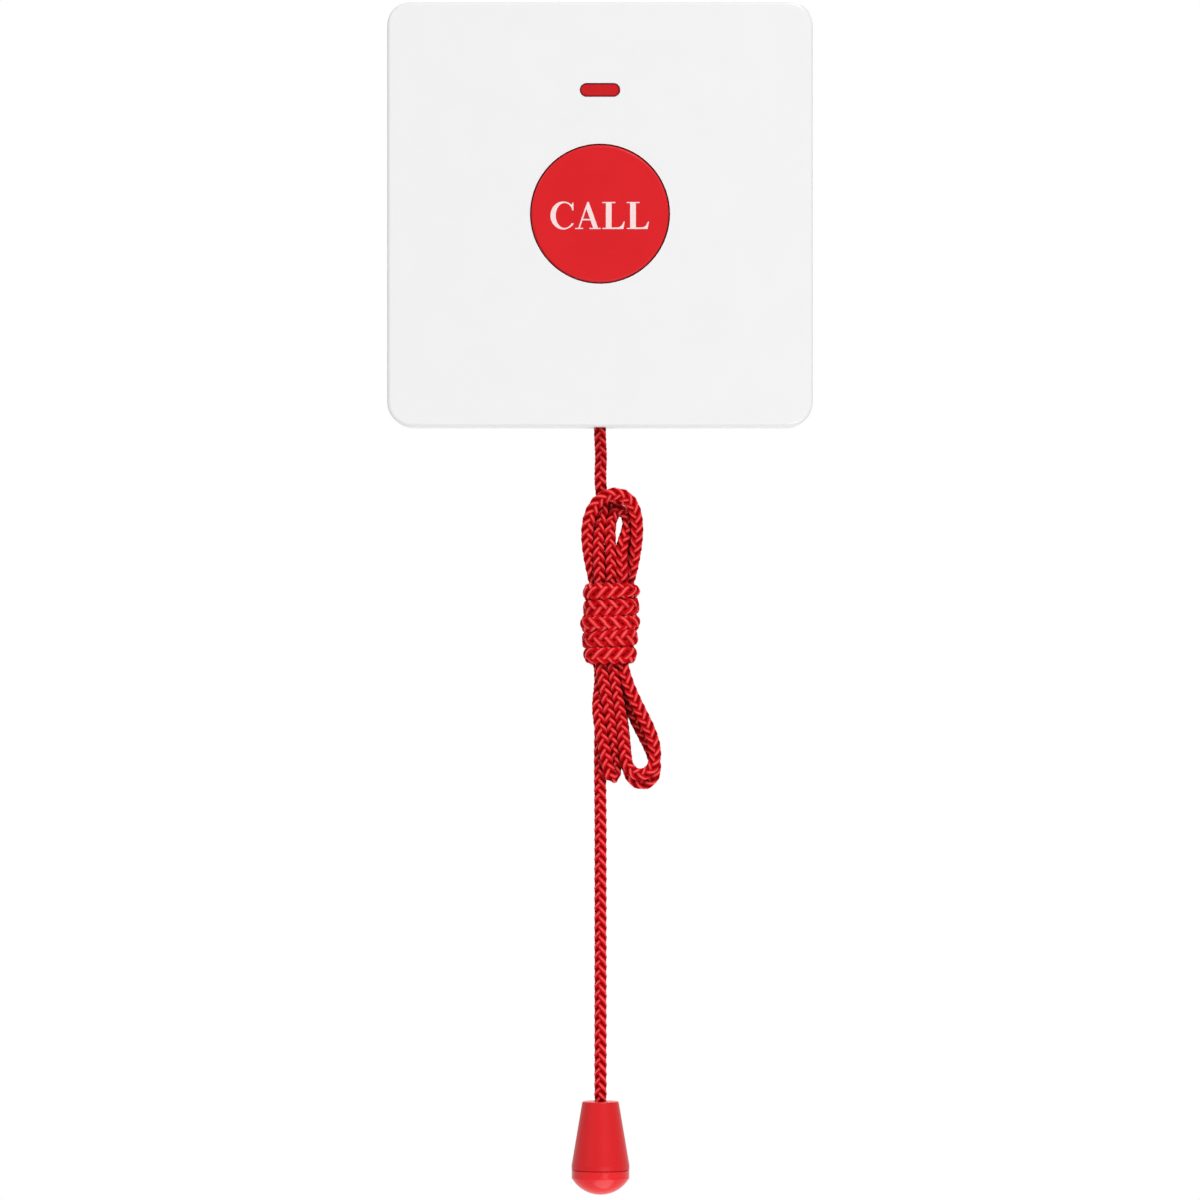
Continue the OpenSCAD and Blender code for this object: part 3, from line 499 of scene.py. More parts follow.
@dataclass(frozen=True)
class SolderMask(Finish):
    """Green solder mask over copper tracks on glass-fibre board.

    Glossy green, darker where no copper lies under it, with the laminate's weave just showing.
    """

    name: str
    over_copper: str
    over_board: str
    track_pitch: float = 1.9
    track_gap: float = 0.28
    track_run: float = 7.6
    track_depth: float = 0.03
    cloth: float = 0.6

    def shade(self, add: Adder) -> Node:
        """Builds glossy mask over a pattern of tracks and a faint laminate weave.

        Args:
            add: Adds a node to the material's tree.

        Returns:
            The node that goes to the surface.
        """
        place = add("ShaderNodeTexCoord").outputs["Object"]
        turned = add("ShaderNodeMapping", {"Vector": place, "Rotation": (math.radians(90), 0, 0)})
        covered = add("ShaderNodeTexBrick", {
            "Vector": turned, "Color1": (1, 1, 1, 1), "Color2": (1, 1, 1, 1), "Mortar": (0, 0, 0, 1), "Scale": 1.0,
            "Mortar Size": self.track_gap * MM, "Mortar Smooth": 0.3, "Brick Width": self.track_run * MM,
            "Row Height": self.track_pitch * MM}, offset=0.5, squash=1.0).outputs["Fac"]
        weave = add("ShaderNodeTexChecker", {"Vector": place, "Scale": 1 / (self.cloth * MM)}).outputs["Fac"]
        mix = add(MATH, [weave, 0.06, covered], operation="MULTIPLY_ADD", use_clamp=True)
        colour = add("ShaderNodeMix", {
            0: mix, COLOUR_A: linear(self.over_board), COLOUR_B: linear(self.over_copper)}, data_type="RGBA")
        bump = add("ShaderNodeBump", {"Strength": 0.5, "Distance": self.track_depth * MM, "Height": covered})
        return add(PRINCIPLED, {
            "Base Color": colour.outputs[COLOUR_OUT], "Roughness": 0.28, "IOR": 1.55, "Normal": bump})


@dataclass(frozen=True)
class PrintedInk(Finish):
    """Pad-printed ink.

    A thin matt layer whose colour lets a trace of the plastic show through.
    """

    name: str
    colour: str
    under: str
    patch: float = 0.7
    patch_depth: float = 0.004

    def shade(self, add: Adder) -> Node:
        """Builds matt ink, a little thinner in places.

        Args:
            add: Adds a node to the material's tree.

        Returns:
            The node that goes to the surface.
        """
        place = add("ShaderNodeTexCoord").outputs["Object"]
        thin = add(NOISE, {"Vector": place, "Scale": 1 / (self.patch * MM), "Detail": 4.0})
        cover = add(MAP_RANGE, {**NOISE_SPAN, "Value": thin, "To Min": 0.94, "To Max": 1.0})
        colour = add("ShaderNodeMix", {
            0: cover, COLOUR_A: linear(self.under), COLOUR_B: linear(self.colour)}, data_type="RGBA")
        bump = add("ShaderNodeBump", {"Strength": 0.4, "Distance": self.patch_depth * MM, "Height": thin})
        return add(PRINCIPLED, {"Base Color": colour.outputs[COLOUR_OUT], "Roughness": 0.55, "Normal": bump})


@dataclass(frozen=True)
class StudioSweep(Finish):
    """Matt white studio paper, which keeps a soft shadow near the object and fades to white far off."""

    name: str
    colour: str
    near: float = 500.0
    far: float = 2200.0
    near_glow: float = 0.8
    fibre: float = 25.0

    def shade(self, add: Adder) -> Node:
        """Builds paper that glows a little to the camera, and that hides nothing from below.

        Args:
            add: Adds a node to the material's tree.

        Returns:
            The node that goes to the surface.
        """
        place = add("ShaderNodeTexCoord").outputs["Object"]
        fibre = add(NOISE, {"Vector": place, "Scale": 1 / (self.fibre * MM), "Detail": 3.0})
        tone = add(MAP_RANGE, {"Value": fibre, "To Min": 0.97, "To Max": 1.0})
        tint = add(VECTOR_MATH, {0: linear(self.colour)[:3], "Scale": tone}, operation="SCALE")
        paper = add("ShaderNodeBsdfDiffuse", {"Color": tint})
        glow = add("ShaderNodeEmission", {"Color": (1, 1, 1, 1), "Strength": 1.0})
        away = add(VECTOR_MATH, [place], operation="LENGTH")
        fade = add(MAP_RANGE, {
            "Value": away.outputs["Value"], "From Min": self.near * MM, "From Max": self.far * MM,
            "To Min": self.near_glow, "To Max": 1.0}, interpolation_type="SMOOTHSTEP")
        share = add(MATH, [seen_rays(add), fade], operation="MULTIPLY")
        mixed = add("ShaderNodeMixShader", [share, paper, glow])
        ray = add("ShaderNodeLightPath").outputs["Is Camera Ray"]
        under = add("ShaderNodeNewGeometry").outputs["Backfacing"]
        below = add(MATH, [ray, under], operation="MULTIPLY")
        clear = add("ShaderNodeBsdfTransparent")
        return add("ShaderNodeMixShader", [below, mixed, clear])


@dataclass(frozen=True)
class Finishes:
    """Every finish on the object, by the piece that wears it."""

    cover: Finish = MouldedPlastic("abs_gloss_white", "F0F0F1", 0.24, Moulding.POLISHED, mottle=0.006)
    base: Finish = MouldedPlastic("abs_sparked_white", "E4E4E1", 0.5, Moulding.SPARKED, mottle=0.015)
    button: Finish = MouldedPlastic("abs_satin_red", "D8101A", 0.42, mottle=0.02, reflection=0.25)
    lens: Finish = TintedLens("polycarbonate_red", "CA0A12")
    natural: Finish = MouldedPlastic("nylon_natural", "E6E1D2", 0.42, mottle=0.03)
    black: Finish = MouldedPlastic("nylon_black", "232426", 0.45, Moulding.SPARKED, mottle=0.05)
    terminal: Finish = MouldedPlastic("polyamide_green", "2E8B4A", 0.4, mottle=0.04)
    steel: Finish = PlatedSteel("steel_zinc_plated", "B9BCC0", 0.32, lines=0.12)
    spring: Finish = PlatedSteel("spring_wire_drawn", "A9ABAD", 0.24, lines=0.05)
    solder: Finish = PlatedSteel("solder_tin", "C4C6C8", 0.36, lines=0.3)
    board: Finish = SolderMask("solder_mask_green", over_copper="2B7A45", over_board="1C5A33")
    ink: Finish = PrintedInk("pad_print_white", "F8DEDE", under="D8101A")
    # The pull and its cap take painted shade in creases up to 0.35 mm wide.
    pull: Finish = MouldedPlastic("abs_satin_red_pull", "D8161C", 0.4, mottle=0.02, reflection=0.25, crease=0.35)
    cap: Finish = MouldedPlastic(
        "abs_gloss_red_cap", "E6141B", 0.22, Moulding.POLISHED, mottle=0.015, reflection=0.3, crease=0.35)
    # The yarn's crest colour is a painted highlight, and its hollow colour is painted shade.
    yarn: Finish = BraidedYarn(
        "polyester_braid_red", crest_highlight="FB5151", body="D60F18", hollow_shade="8A0810", low_r=0.93, high_r=1.36)


FINISHES = Finishes()


def dress(node: str, finish: Finish) -> Object:
    """Gives a CAD node's material slots a finish.

    Args:
        node: The CAD node's name.
        finish: The finish that it wears.

    Returns:
        The node's object.
    """
    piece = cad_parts[node]
    for slot in piece.material_slots:
        slot.material = finish.material()
    LOG.info("%s wears %s", node, finish.name)
    return piece


def settle(piece: Object, body: str, nodes: Sequence[str] = ()) -> Object:
    """Lets a new piece ride on a body and stand for CAD nodes.

    Args:
        piece: The finished piece.
        body: The CAD body that it moves with.
        nodes: The CAD nodes that it replaces.

    Returns:
        The same piece.
    """
    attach(piece, body)
    if nodes:
        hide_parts(*nodes)
    LOG.info("%s rides on %s, %d triangles", piece.name, body, sum(len(p.vertices) - 2 for p in piece.data.polygons))
    return piece


class SubAssembly:
    """Pieces that belong together: those made here, and packed ones that keep their shape."""

    wears: ClassVar[dict[str, Finish]] = {}

    def make(self) -> None:
        """Makes the pieces that get a new shape; a group without any has none to make."""

    def build(self) -> None:
        """Makes the new pieces, and gives each packed one the finish that it wears."""
        self.make()
        for node, finish in self.wears.items():
            dress(node, finish)
        LOG.info("%s is done", type(self).__name__)


# ---------------------------------------------------------------- node trees


@dataclass(frozen=True)
class Braid:
    """A round braid of yarns that run both ways round a core, two over and two under.

    Its sizes are in millimetres. `lay` is the length in which a yarn goes once round.
    """

    yarns: int = 4
    lay: float = 7.95
    middle_r: float = 0.77
    weave: float = 0.2
    yarn_w: float = 1.16
    yarn_t: float = 0.82
    core_r: float = 0.6
    step: float = 0.45
    turned: float = 45.0
    sides: int = 7
    # The core's sides, and how much thinner and wider the braid gets where it swells
    core_sides: ClassVar[int] = 8
    thinning: ClassVar[float] = -0.3
    widening: ClassVar[float] = 0.5

    @staticmethod
    @cache
    def tree() -> NodeTree:
        """Builds the tree that braids yarns along a line, on first use.

        Returns:
            The tree.
        """
        tree, add, size = new_geometry_tree("Braided cord", {
            "Yarns": "Int", "Sides": "Int", "Material": "Material", "Lay": "Float", "Middle radius": "Float",
            "Weave": "Float", "Yarn width": "Float", "Yarn thickness": "Float", "Core radius": "Float",
            "Step": "Float", "Turned": "Float"})
        line = add("GeometryNodeMeshToCurve", {"Mesh": size["Geometry"]})
        fine = add("GeometryNodeResampleCurve", {"Curve": line, "Length": size["Step"]}, mode="LENGTH")
        kept = add("GeometryNodeSetCurveNormal", {"Curve": fine}, mode="MINIMUM_TWIST")
        tracked = {
            "cord_along": ("FLOAT_VECTOR", add("GeometryNodeInputTangent")),
            "cord_side": ("FLOAT_VECTOR", add("GeometryNodeInputNormal")),
            "cord_axis": ("FLOAT_VECTOR", add("GeometryNodeInputPosition")),
            "yarn_run": ("FLOAT", add("GeometryNodeSplineParameter").outputs["Length"])}
        for name, (kind, value) in tracked.items():
            kept = add("GeometryNodeStoreNamedAttribute", {
                "Geometry": kept, "Name": name, "Value": value}, data_type=kind)
        both = add(MATH, [size["Yarns"], 2.0], operation="MULTIPLY")
        copies = add("GeometryNodeDuplicateElements", {"Geometry": kept, "Amount": both}, domain="SPLINE")
        index = copies.outputs["Duplicate Index"]
        along, side, axis, run = (add("GeometryNodeInputNamedAttribute", {"Name": name}, data_type=kind)
                                  for name, (kind, _) in tracked.items())
        swell = add("GeometryNodeInputNamedAttribute", {"Name": "cord_swell"}, data_type="FLOAT")

        # The angle of each yarn: one hand turns forwards and the other back, half a yarn apart
        hand = add(MATH, [index, 2.0], operation="MODULO")
        sign = add(MATH, [hand, -2.0, 1.0], operation="MULTIPLY_ADD")
        half = add(MATH, [index, 0.5], operation="MULTIPLY")
        number = add(MATH, [half], operation="FLOOR")
        offset = add(MATH, [hand, 0.5, number], operation="MULTIPLY_ADD")
        share = add(MATH, [offset, size["Yarns"]], operation="DIVIDE")
        turns = add(MATH, [run, size["Lay"]], operation="DIVIDE")
        signed = add(MATH, [turns, sign, share], operation="MULTIPLY_ADD")
        angle = add(MATH, [signed, TURN], operation="MULTIPLY")
        faced = add(MATH, [angle, size["Turned"]], operation="ADD")

        # Outwards from the cord's axis at that angle
        across = add(VECTOR_MATH, [along, side], operation="CROSS_PRODUCT")
        cosine = add(MATH, [faced], operation="COSINE")
        sine = add(MATH, [faced], operation="SINE")
        on_side = add(VECTOR_MATH, {0: side, "Scale": cosine}, operation="SCALE")
        on_across = add(VECTOR_MATH, {0: across, "Scale": sine}, operation="SCALE")
        outwards = add(VECTOR_MATH, [on_side, on_across], operation="ADD")

        # Each hand runs outside over one pair of quarters and inside under the other
        double = add(MATH, [angle, 2.0], operation="MULTIPLY")
        wave = add(MATH, [double], operation="COSINE")
        swing = add(MATH, [wave, sign], operation="MULTIPLY")
        radius = add(MATH, [swing, size["Weave"], size["Middle radius"]], operation="MULTIPLY_ADD")
        shift = add(VECTOR_MATH, {0: outwards, "Scale": radius}, operation="SCALE")

        # Where the cord is pulled tight round the hank, its section is squashed taller
        taller = add(MATH, [swell, 1.0], operation="ADD")
        thinner = add(MATH, [swell, Braid.thinning, 1.0], operation="MULTIPLY_ADD")
        wider = add(MATH, [swell, Braid.widening, 1.0], operation="MULTIPLY_ADD")
        squash = add("ShaderNodeCombineXYZ", {"X": thinner, "Y": thinner, "Z": taller})
        squashed = add(VECTOR_MATH, [shift, squash], operation="MULTIPLY")
        moved = add("GeometryNodeSetPosition", {"Geometry": copies, "Offset": squashed})
        facing = add("GeometryNodeSetCurveNormal", {"Curve": moved, "Normal": outwards}, mode="FREE")

        # A yarn is a flattened tube, and the core a plain one
        ring = add("GeometryNodeCurvePrimitiveCircle", {"Resolution": size["Sides"], "Radius": 0.5})
        factor = add("GeometryNodeSplineParameter").outputs["Factor"]
        marked = add("GeometryNodeStoreNamedAttribute", {"Geometry": ring, "Name": "yarn_around", "Value": factor})
        flat = add("ShaderNodeCombineXYZ", {"X": size["Yarn thickness"], "Y": size["Yarn width"], "Z": 1.0})
        profile = add("GeometryNodeTransform", {"Geometry": marked, "Rotation": (0, 0, math.pi), "Scale": flat})
        yarns = add("GeometryNodeCurveToMesh", {
            "Curve": facing, "Profile Curve": profile, "Fill Caps": True, "Scale": wider})
        core_ring = add("GeometryNodeCurvePrimitiveCircle", {
            "Resolution": Braid.core_sides, "Radius": size["Core radius"]})
        core = add("GeometryNodeCurveToMesh", {"Curve": kept, "Profile Curve": core_ring, "Fill Caps": True})
        whole = add("GeometryNodeJoinGeometry", {"Geometry": yarns})
        tree.links.new(core.outputs["Mesh"], whole.inputs["Geometry"])
        here = add("GeometryNodeInputPosition").outputs["Position"]
        height = add(VECTOR_MATH, [here, axis], operation="DISTANCE").outputs["Value"]
        noted = add("GeometryNodeStoreNamedAttribute", {"Geometry": whole, "Name": "yarn_height", "Value": height})
        end_geometry_tree(add, noted, size["Material"])
        return tree

    def make(self, name: str, line: np.ndarray, finish: Finish, swell: np.ndarray) -> Object:
        """Braids a cord along a line.

        Args:
            name: The piece's name.
            line: The cord's middle line in millimetres.
            finish: The yarn's finish.
            swell: How far the section is squashed at each point of the line.

        Returns:
            The cord as a plain mesh.
        """
        piece = line_piece(name, line * MM)
        piece.data.attributes.new("cord_swell", "FLOAT", "POINT").data.foreach_set("value", swell)
        return run_tree(piece, self.tree(), {
            "Yarns": self.yarns, "Sides": self.sides, "Material": finish.material(), "Lay": self.lay * MM,
            "Middle radius": self.middle_r * MM, "Weave": self.weave * MM, "Yarn width": self.yarn_w * MM,
            "Yarn thickness": self.yarn_t * MM, "Core radius": self.core_r * MM, "Step": self.step * MM,
            "Turned": math.radians(self.turned)})


@dataclass(frozen=True)
class RoundWire:
    """Round wire that follows a line."""

    wire_d: float
    step: float
    sides: int = 12

    @staticmethod
    @cache
    def tree() -> NodeTree:
        """Builds the tree that sweeps a round wire along a line, on first use.

        Returns:
            The tree.
        """
        tree, add, size = new_geometry_tree("Round wire", {
            "Sides": "Int", "Material": "Material", "Wire": "Float", "Step": "Float"})
        line = add("GeometryNodeMeshToCurve", {"Mesh": size["Geometry"]})
        fine = add("GeometryNodeResampleCurve", {"Curve": line, "Length": size["Step"]}, mode="LENGTH")
        half = add(MATH, [size["Wire"], 0.5], operation="MULTIPLY")
        ring = add("GeometryNodeCurvePrimitiveCircle", {"Resolution": size["Sides"], "Radius": half})
        swept = add("GeometryNodeCurveToMesh", {"Curve": fine, "Profile Curve": ring, "Fill Caps": True})
        end_geometry_tree(add, swept, size["Material"])
        return tree

    def make(self, name: str, line: np.ndarray, finish: Finish) -> Object:
        """Sweeps the wire along a line.

        Args:
            name: The piece's name.
            line: The wire's middle line in millimetres.
            finish: The wire's finish.

        Returns:
            The wire as a plain mesh.
        """
        return run_tree(line_piece(name, line * MM), self.tree(), {
            "Sides": self.sides, "Material": finish.material(), "Wire": self.wire_d * MM,
            "Step": self.step * MM})


def coil_line(radius: float, turns: float, length: float, wire_d: float) -> np.ndarray:
    """Works out the middle line of a compression spring with a closed turn at each end.

    Args:
        radius: The coil's middle radius.
        turns: The turns in all.
        length: The spring's length over its ends.
        wire_d: The wire's diameter.

    Returns:
        Points that stand on z = 0 and rise to z = length.
    """
    turn = np.linspace(0, turns, int(turns * COIL_STEPS) + 1)
    free = (length - 3 * wire_d) / (turns - 2)
    closed = np.minimum(turn, 1) + np.maximum(turn - turns + 1, 0)
    rise = wire_d / 2 + closed * wire_d + np.clip(turn - 1, 0, turns - 2) * free
    return np.column_stack([radius * np.cos(TURN * turn), radius * np.sin(TURN * turn), rise])


# ---------------------------------------------------------------- studio


@dataclass(frozen=True)
class SoftLamp:
    """A square soft lamp, with its place, its aim and its size in millimetres."""

    name: str
    place: Point
    aim: Point
    size: float
    watts: float

    def build(self) -> None:
        """Hangs the lamp and turns it to its aim."""
        data = bpy.data.lights.new(self.name, "AREA")
        data.size = self.size * MM
        data.energy = self.watts
        lamp = bpy.data.objects.new(self.name, data)
        lamp.location = metres(*self.place)
        lamp.rotation_euler = (metres(*self.aim) - lamp.location).to_track_quat("-Z", "Y").to_euler()
        bpy.context.scene.collection.objects.link(lamp)


@dataclass
class Studio:
    """Camera, soft light and white paper round the object."""

    view_w: float = 242.3
    view_middle: float = -78.0
    lens: float = 250.0
    sensor: float = 36.0
    clip: tuple[float, float] = (50.0, 100000.0)
    floor_drop: float = 400.0
    floor_half: float = 6000.0
    ambient: float = 0.36
    lamps: tuple[SoftLamp, ...] = (
        SoftLamp("key", (450, -1000, 1000), (0, -10, -60), 450, 10.6),
        SoftLamp("left", (-800, -600, 500), (0, -10, -60), 450, 2.0),
        SoftLamp("low", (250, -700, -420), (0, -10, -130), 300, 1.4),
        SoftLamp("under", (35, -50, -390), (0, -10, -190), 160, 0.16),
        SoftLamp("back", (0, 900, 700), (0, 0, -60), 700, 6.0))

    def camera(self) -> None:
        """Looks at the plate squarely, with a long lens."""
        data = bpy.data.cameras.new("camera")
        data.lens = self.lens
        data.sensor_width = self.sensor
        data.clip_start, data.clip_end = (end * MM for end in self.clip)
        camera = bpy.data.objects.new("camera", data)
        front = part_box("front_cover")[0].y / MM
        distance = self.view_w * self.lens / self.sensor
        camera.location = metres(0, front - distance, self.view_middle)
        camera.rotation_euler = (math.radians(90), 0, 0)
        bpy.context.scene.collection.objects.link(camera)
        bpy.context.scene.camera = camera

    def world(self) -> None:
        """Fills the shadows evenly, and shows white to the camera and in reflections."""
        world = bpy.data.worlds.new("soft_room")
        bpy.context.scene.world = world
        world.use_nodes = True
        tree = world.node_tree
        tree.nodes.clear()
        add = partial(add_node, tree)
        fill = add("ShaderNodeBackground", {"Color": (1, 1, 1, 1), "Strength": self.ambient})
        white = add("ShaderNodeBackground", {"Color": (1, 1, 1, 1), "Strength": 1.0})
        mixed = add("ShaderNodeMixShader", [seen_rays(add), fill, white])
        add("ShaderNodeOutputWorld", {"Surface": mixed})

    def floor(self) -> None:
        """Lays white paper below the object."""
        low, half = cad_box[0][2] - self.floor_drop * MM, self.floor_half * MM
        paper = mesh_piece("floor_paper", [(-half, -half, low), (half, -half, low), (half, half, low),
                                           (-half, half, low)], faces=[(0, 1, 2, 3)])
        paper.data.materials.append(StudioSweep("studio_paper", "EDEDED").material())

    def build(self) -> None:
        """Sets up the whole studio."""
        bpy.context.scene.view_settings.view_transform = "Standard"
        self.camera()
        for lamp in self.lamps:
            lamp.build()
        self.world()
        self.floor()
        LOG.info("studio is set")


# ---------------------------------------------------------------- cord


@dataclass
class PullCord(SubAssembly):
    """The braided cord: a straight fall, a hank of folded loops bound by its own turns, and a tail.

    Route points are [right, back, up] from the mouth of the bush, where the cord swings.
    """

    diameter: float = 2.4
    strand_pitch: float = 2.22
    braid: Braid = Braid()
    # Each turn of the binding: its middle, its half width and its rise to the right
    wrap_rows: tuple[Point, ...] = (
        (2.35, 4.2, 0.03), (2.36, 4.4, 0.05), (1.8, 4.75, 0.02), (1.95, 4.5, 0.06), (1.98, 4.1, -0.01))
    # The binding's half thickness and squareness, its rows, and the angles that it runs between
    wrap_half_t: float = 3.6
    wrap_square: float = 2.7
    wrap_pitch: float = 3.18
    wrap_first: float = -33.3
    wrap_from: float = 50.0
    wrap_to: float = -1690.0
    wrap_step: float = 20.0
    # How far its braid is squashed, and over how many points that builds up
    wrap_swell: float = 0.5
    swell_ramp: float = 8.0
    route_step: float = 1.0
    inner_step: float = 0.5
    bend_r: float = 1.08
    bend_points: int = 9
    bend_braid: Braid = Braid(lay=8.0, middle_r=0.56, weave=0.14, yarn_w=1.1, yarn_t=0.66, core_r=0.5, step=0.3)
    knot_r: float = 0.95
    knot_tube_r: float = 0.5
    knot_points: int = 90
    knot_braid: Braid = Braid(
        lay=4.0, middle_r=0.36, weave=0.1, yarn_w=0.64, yarn_t=0.4, core_r=0.32, step=0.24, sides=6)
    # How strands make room for each other: rounds, and the shares of a move in each
    rounds: int = 60
    press: float = 0.4
    smoothing: float = 0.15
    pull_back: float = 0.08
    # Diameters along the cord that count as the same strand, and the points held still at its ends
    same_strand: float = 2.2
    held_top: int = 10
    held_tail: int = 60

    # Down from the bush, behind the tall loop's top, then in front
    supply: tuple[Point, ...] = (
        (0, 0, 0), (0, 0, -1.3), (0.1, 0, -3.5), (0.2, 0, -6), (0.1, 0, -9), (0.1, 0.3, -11.7), (0.5, 1.0, -14.6),
        (0.45, 0.8, -17.8), (-0.3, 0, -21.5), (-0.25, -0.9, -26), (0, -1.2, -31), (0, -1.2, -36),
        (0, -1.2, -42), (0.2, -1.3, -47))
    # A narrow loop, nearly edge on: down its back half and up its front half
    small_loop: tuple[Point, ...] = (
        (0.5, -1.7, -50), (1.1, -1.9, -53.5), (1.65, -1.9, -57), (2.2, -1.7, -60.5), (2.65, -1.3, -64),
        (3.1, -0.5, -67.5), (3.2, 0.2, -70.3), (2.7, -0.4, -71.7), (2.0, -1.5, -70.7), (1.5, -2.0, -68.2),
        (0.7, -2.3, -64.5), (0.1, -2.2, -61), (-0.3, -1.5, -57.5), (-0.05, -0.5, -54), (0.1, 0.6, -50.5),
        (-0.5, 1.2, -46), (-0.6, 1.2, -40), (-0.8, 1.2, -35))
    # The tall loop above the binding
    outer_loop: tuple[Point, ...] = (
        (-1.35, 0.8, -30.2), (-2.15, 0.2, -26.4), (-2.67, -0.6, -21.4), (-2.2, -1.2, -18), (-0.9, -1.5, -15.3),
        (1.0, -1.7, -13.7), (3.6, -1.7, -13.2), (5.7, -1.6, -14.1), (7.0, -1.4, -16.2), (7.6, -1.0, -19.8),
        (7.4, -0.4, -23.5), (6.9, 0.3, -26.7), (5.9, 0.9, -31.3), (5.0, 1.1, -35), (4.6, 0.3, -39),
        (4.5, -0.8, -43), (4.4, -1.3, -47))
    # The wide loop that swings out to the right below it
    wide_loop: tuple[Point, ...] = (
        (4.6, -1.6, -48.8), (5.3, -1.9, -50.9), (6.1, -2.0, -53.1), (7.3, -2.1, -55.7), (8.7, -2.1, -58.5),
        (9.9, -2.1, -60.9), (11.0, -2.0, -64), (11.3, -1.9, -66.8), (10.6, -1.9, -69.5), (8.9, -1.9, -70.6),
        (7.2, -1.9, -70.6), (5.9, -1.9, -69.6), (5.2, -1.9, -67.6), (4.85, -1.9, -65), (4.55, -1.9, -61.7),
        (4.0, -1.8, -58), (3.5, -1.8, -55.2), (3.0, -1.7, -52.2), (2.5, -1.4, -48.6), (2.1, -1.2, -45),
        (2.0, -1.2, -40), (2.1, -1.2, -35))
    inner_loop: tuple[Point, ...] = (
        (2.25, -1.2, -31), (2.2, -1.0, -27), (2.1, -0.6, -23.7), (1.85, 0.3, -20.5), (2.3, 1.1, -17.9),
        (3.8, 1.6, -16.3), (5.3, 1.5, -17.0), (5.95, 1.1, -19), (5.4, 0.3, -21.4), (4.4, -0.6, -23.9),
        (4.35, -1.0, -27.5), (4.4, -1.2, -31.5), (4.2, -0.9, -35), (3.6, 0, -39), (4.1, 1.1, -43.5))
    # The same wide loop again, behind the first and a little lower
    back_loop: tuple[Point, ...] = (
        (4.5, 1.4, -48), (5.0, 1.6, -52), (5.7, 1.8, -55.5), (6.7, 1.9, -58.3), (7.97, 1.9, -60.9),
        (9.25, 1.8, -63.3), (10.5, 1.5, -65.9), (11.4, 1.2, -69), (10.8, 1.0, -71.5), (8.7, 0.9, -72.7),
        (6.7, 1.1, -71.8), (5.6, 1.3, -69.4), (5.1, 1.7, -65), (4.6, 1.9, -60), (3.9, 1.9, -55),
        (3.0, 1.7, -50.5), (2.2, 1.3, -46), (1.9, 1.2, -40), (1.7, 1.3, -35))
    hidden_loop: tuple[Point, ...] = (
        (0.9, 2.4, -30.5), (-0.2, 3.1, -26), (-0.5, 3.5, -21), (0.6, 3.7, -17), (2.8, 3.8, -14.9),
        (5.2, 3.7, -16.6), (6.3, 3.5, -21), (6.1, 3.2, -26), (5.6, 3.1, -29.5))
    # The tail, from the last turn of the binding down into the pull
    tail: tuple[Point, ...] = (
        (0.3, 3.4, -48.6), (0.3, 3.0, -51), (0.2, 2.4, -55), (0.1, 1.7, -60), (0, 1.0, -65), (0, 0.5, -69),
        (0.05, 0.2, -74), (0.1, 0, -80), (0.1, 0, -87), (0.1, 0, -94), (0.1, 0, -101), (0.1, 0, -108),
        (0.1, 0, -115), (0.1, 0, -122), (0.1, 0, -129), (0.1, 0, -139.6))

    def binding(self) -> list[Point]:
        """Works out the turns round the hank's waist: each is level in front and drops a row behind.

        Returns:
            Points round the waist, from the first turn down to the last.
        """
        points = []
        for degrees in np.arange(self.wrap_from, self.wrap_to, -self.wrap_step):
            c, s = math.cos(math.radians(degrees)), math.sin(math.radians(degrees))
            row, part = divmod((-90 - degrees) / 360, 1)
            middle, half_w, rise = self.wrap_rows[min(max(round(row + part), 0), len(self.wrap_rows) - 1)]
            across = half_w * math.copysign(abs(c) ** (2 / self.wrap_square), c)
            # Level over the front half turn, then a smooth step down behind
            behind = min(max((part - 0.25) / 0.5, 0), 1)
            drop = row + behind * behind * (3 - 2 * behind)
            points.append((middle + across, self.wrap_half_t * math.copysign(abs(s) ** (2 / self.wrap_square), s),
                           self.wrap_first - self.wrap_pitch * drop + rise * across))
        return points

    def relaxed(self, line: np.ndarray) -> np.ndarray:
        """Presses strands that cross apart until they lie against each other.

        Args:
            line: The cord's middle line, about a millimetre between points.

        Returns:
            The line after the strands have made room for each other.
        """
        start, p = line.copy(), line.copy()
        number = np.arange(len(p))
        apart = np.abs(number[:, None] - number[None, :]) > self.same_strand * self.diameter
        free = (number > self.held_top) & (number < len(p) - self.held_tail)
        for _ in range(self.rounds):
            gap = p[:, None, :] - p[None, :, :]
            distance = np.linalg.norm(gap, axis=2) + 1e-9
            short = np.where(apart & (distance < self.strand_pitch), self.strand_pitch - distance, 0)
            move = (gap * (short / distance)[:, :, None]).sum(axis=1) / np.maximum((short > 0).sum(axis=1), 1)[:, None]
            p[free] += self.press * move[free]
            bend = np.zeros_like(p)
            bend[1:-1] = (p[:-2] + p[2:]) / 2 - p[1:-1]
            p[free] += self.smoothing * bend[free] + self.pull_back * (start - p)[free]
        return p

    def route(self) -> tuple[np.ndarray, np.ndarray]:
        """Joins the stretches into one line, from the mouth of the bush into the pull.

        Returns:
            The line, and at each point how far the braid is squashed flat by the binding's pull.
        """
        before = [*self.supply, *self.small_loop, *self.outer_loop, *self.wide_loop, *self.inner_loop,
                  *self.back_loop, *self.hidden_loop]
        binding = self.binding()
        tight = smooth_line([*before, *binding, *self.tail], self.route_step)
        line = even_line(self.relaxed(tight), self.route_step)
        share = np.array([line_length(np.array(part, float)) for part in (before, binding, self.tail)])
        ends = np.cumsum(share)[:2] / share.sum() * len(line)
        place = np.arange(len(line))
        swell = np.clip(np.minimum(place - ends[0], ends[1] - place) / self.swell_ramp, 0, 1) * self.wrap_swell
        return line + np.array(self.mouth()) / MM, swell

    def mouth(self) -> Vector:
        """Finds where the cord leaves the bush and swings: the middle of its bend."""
        low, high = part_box("cord_bend")
        return (low + high) / 2

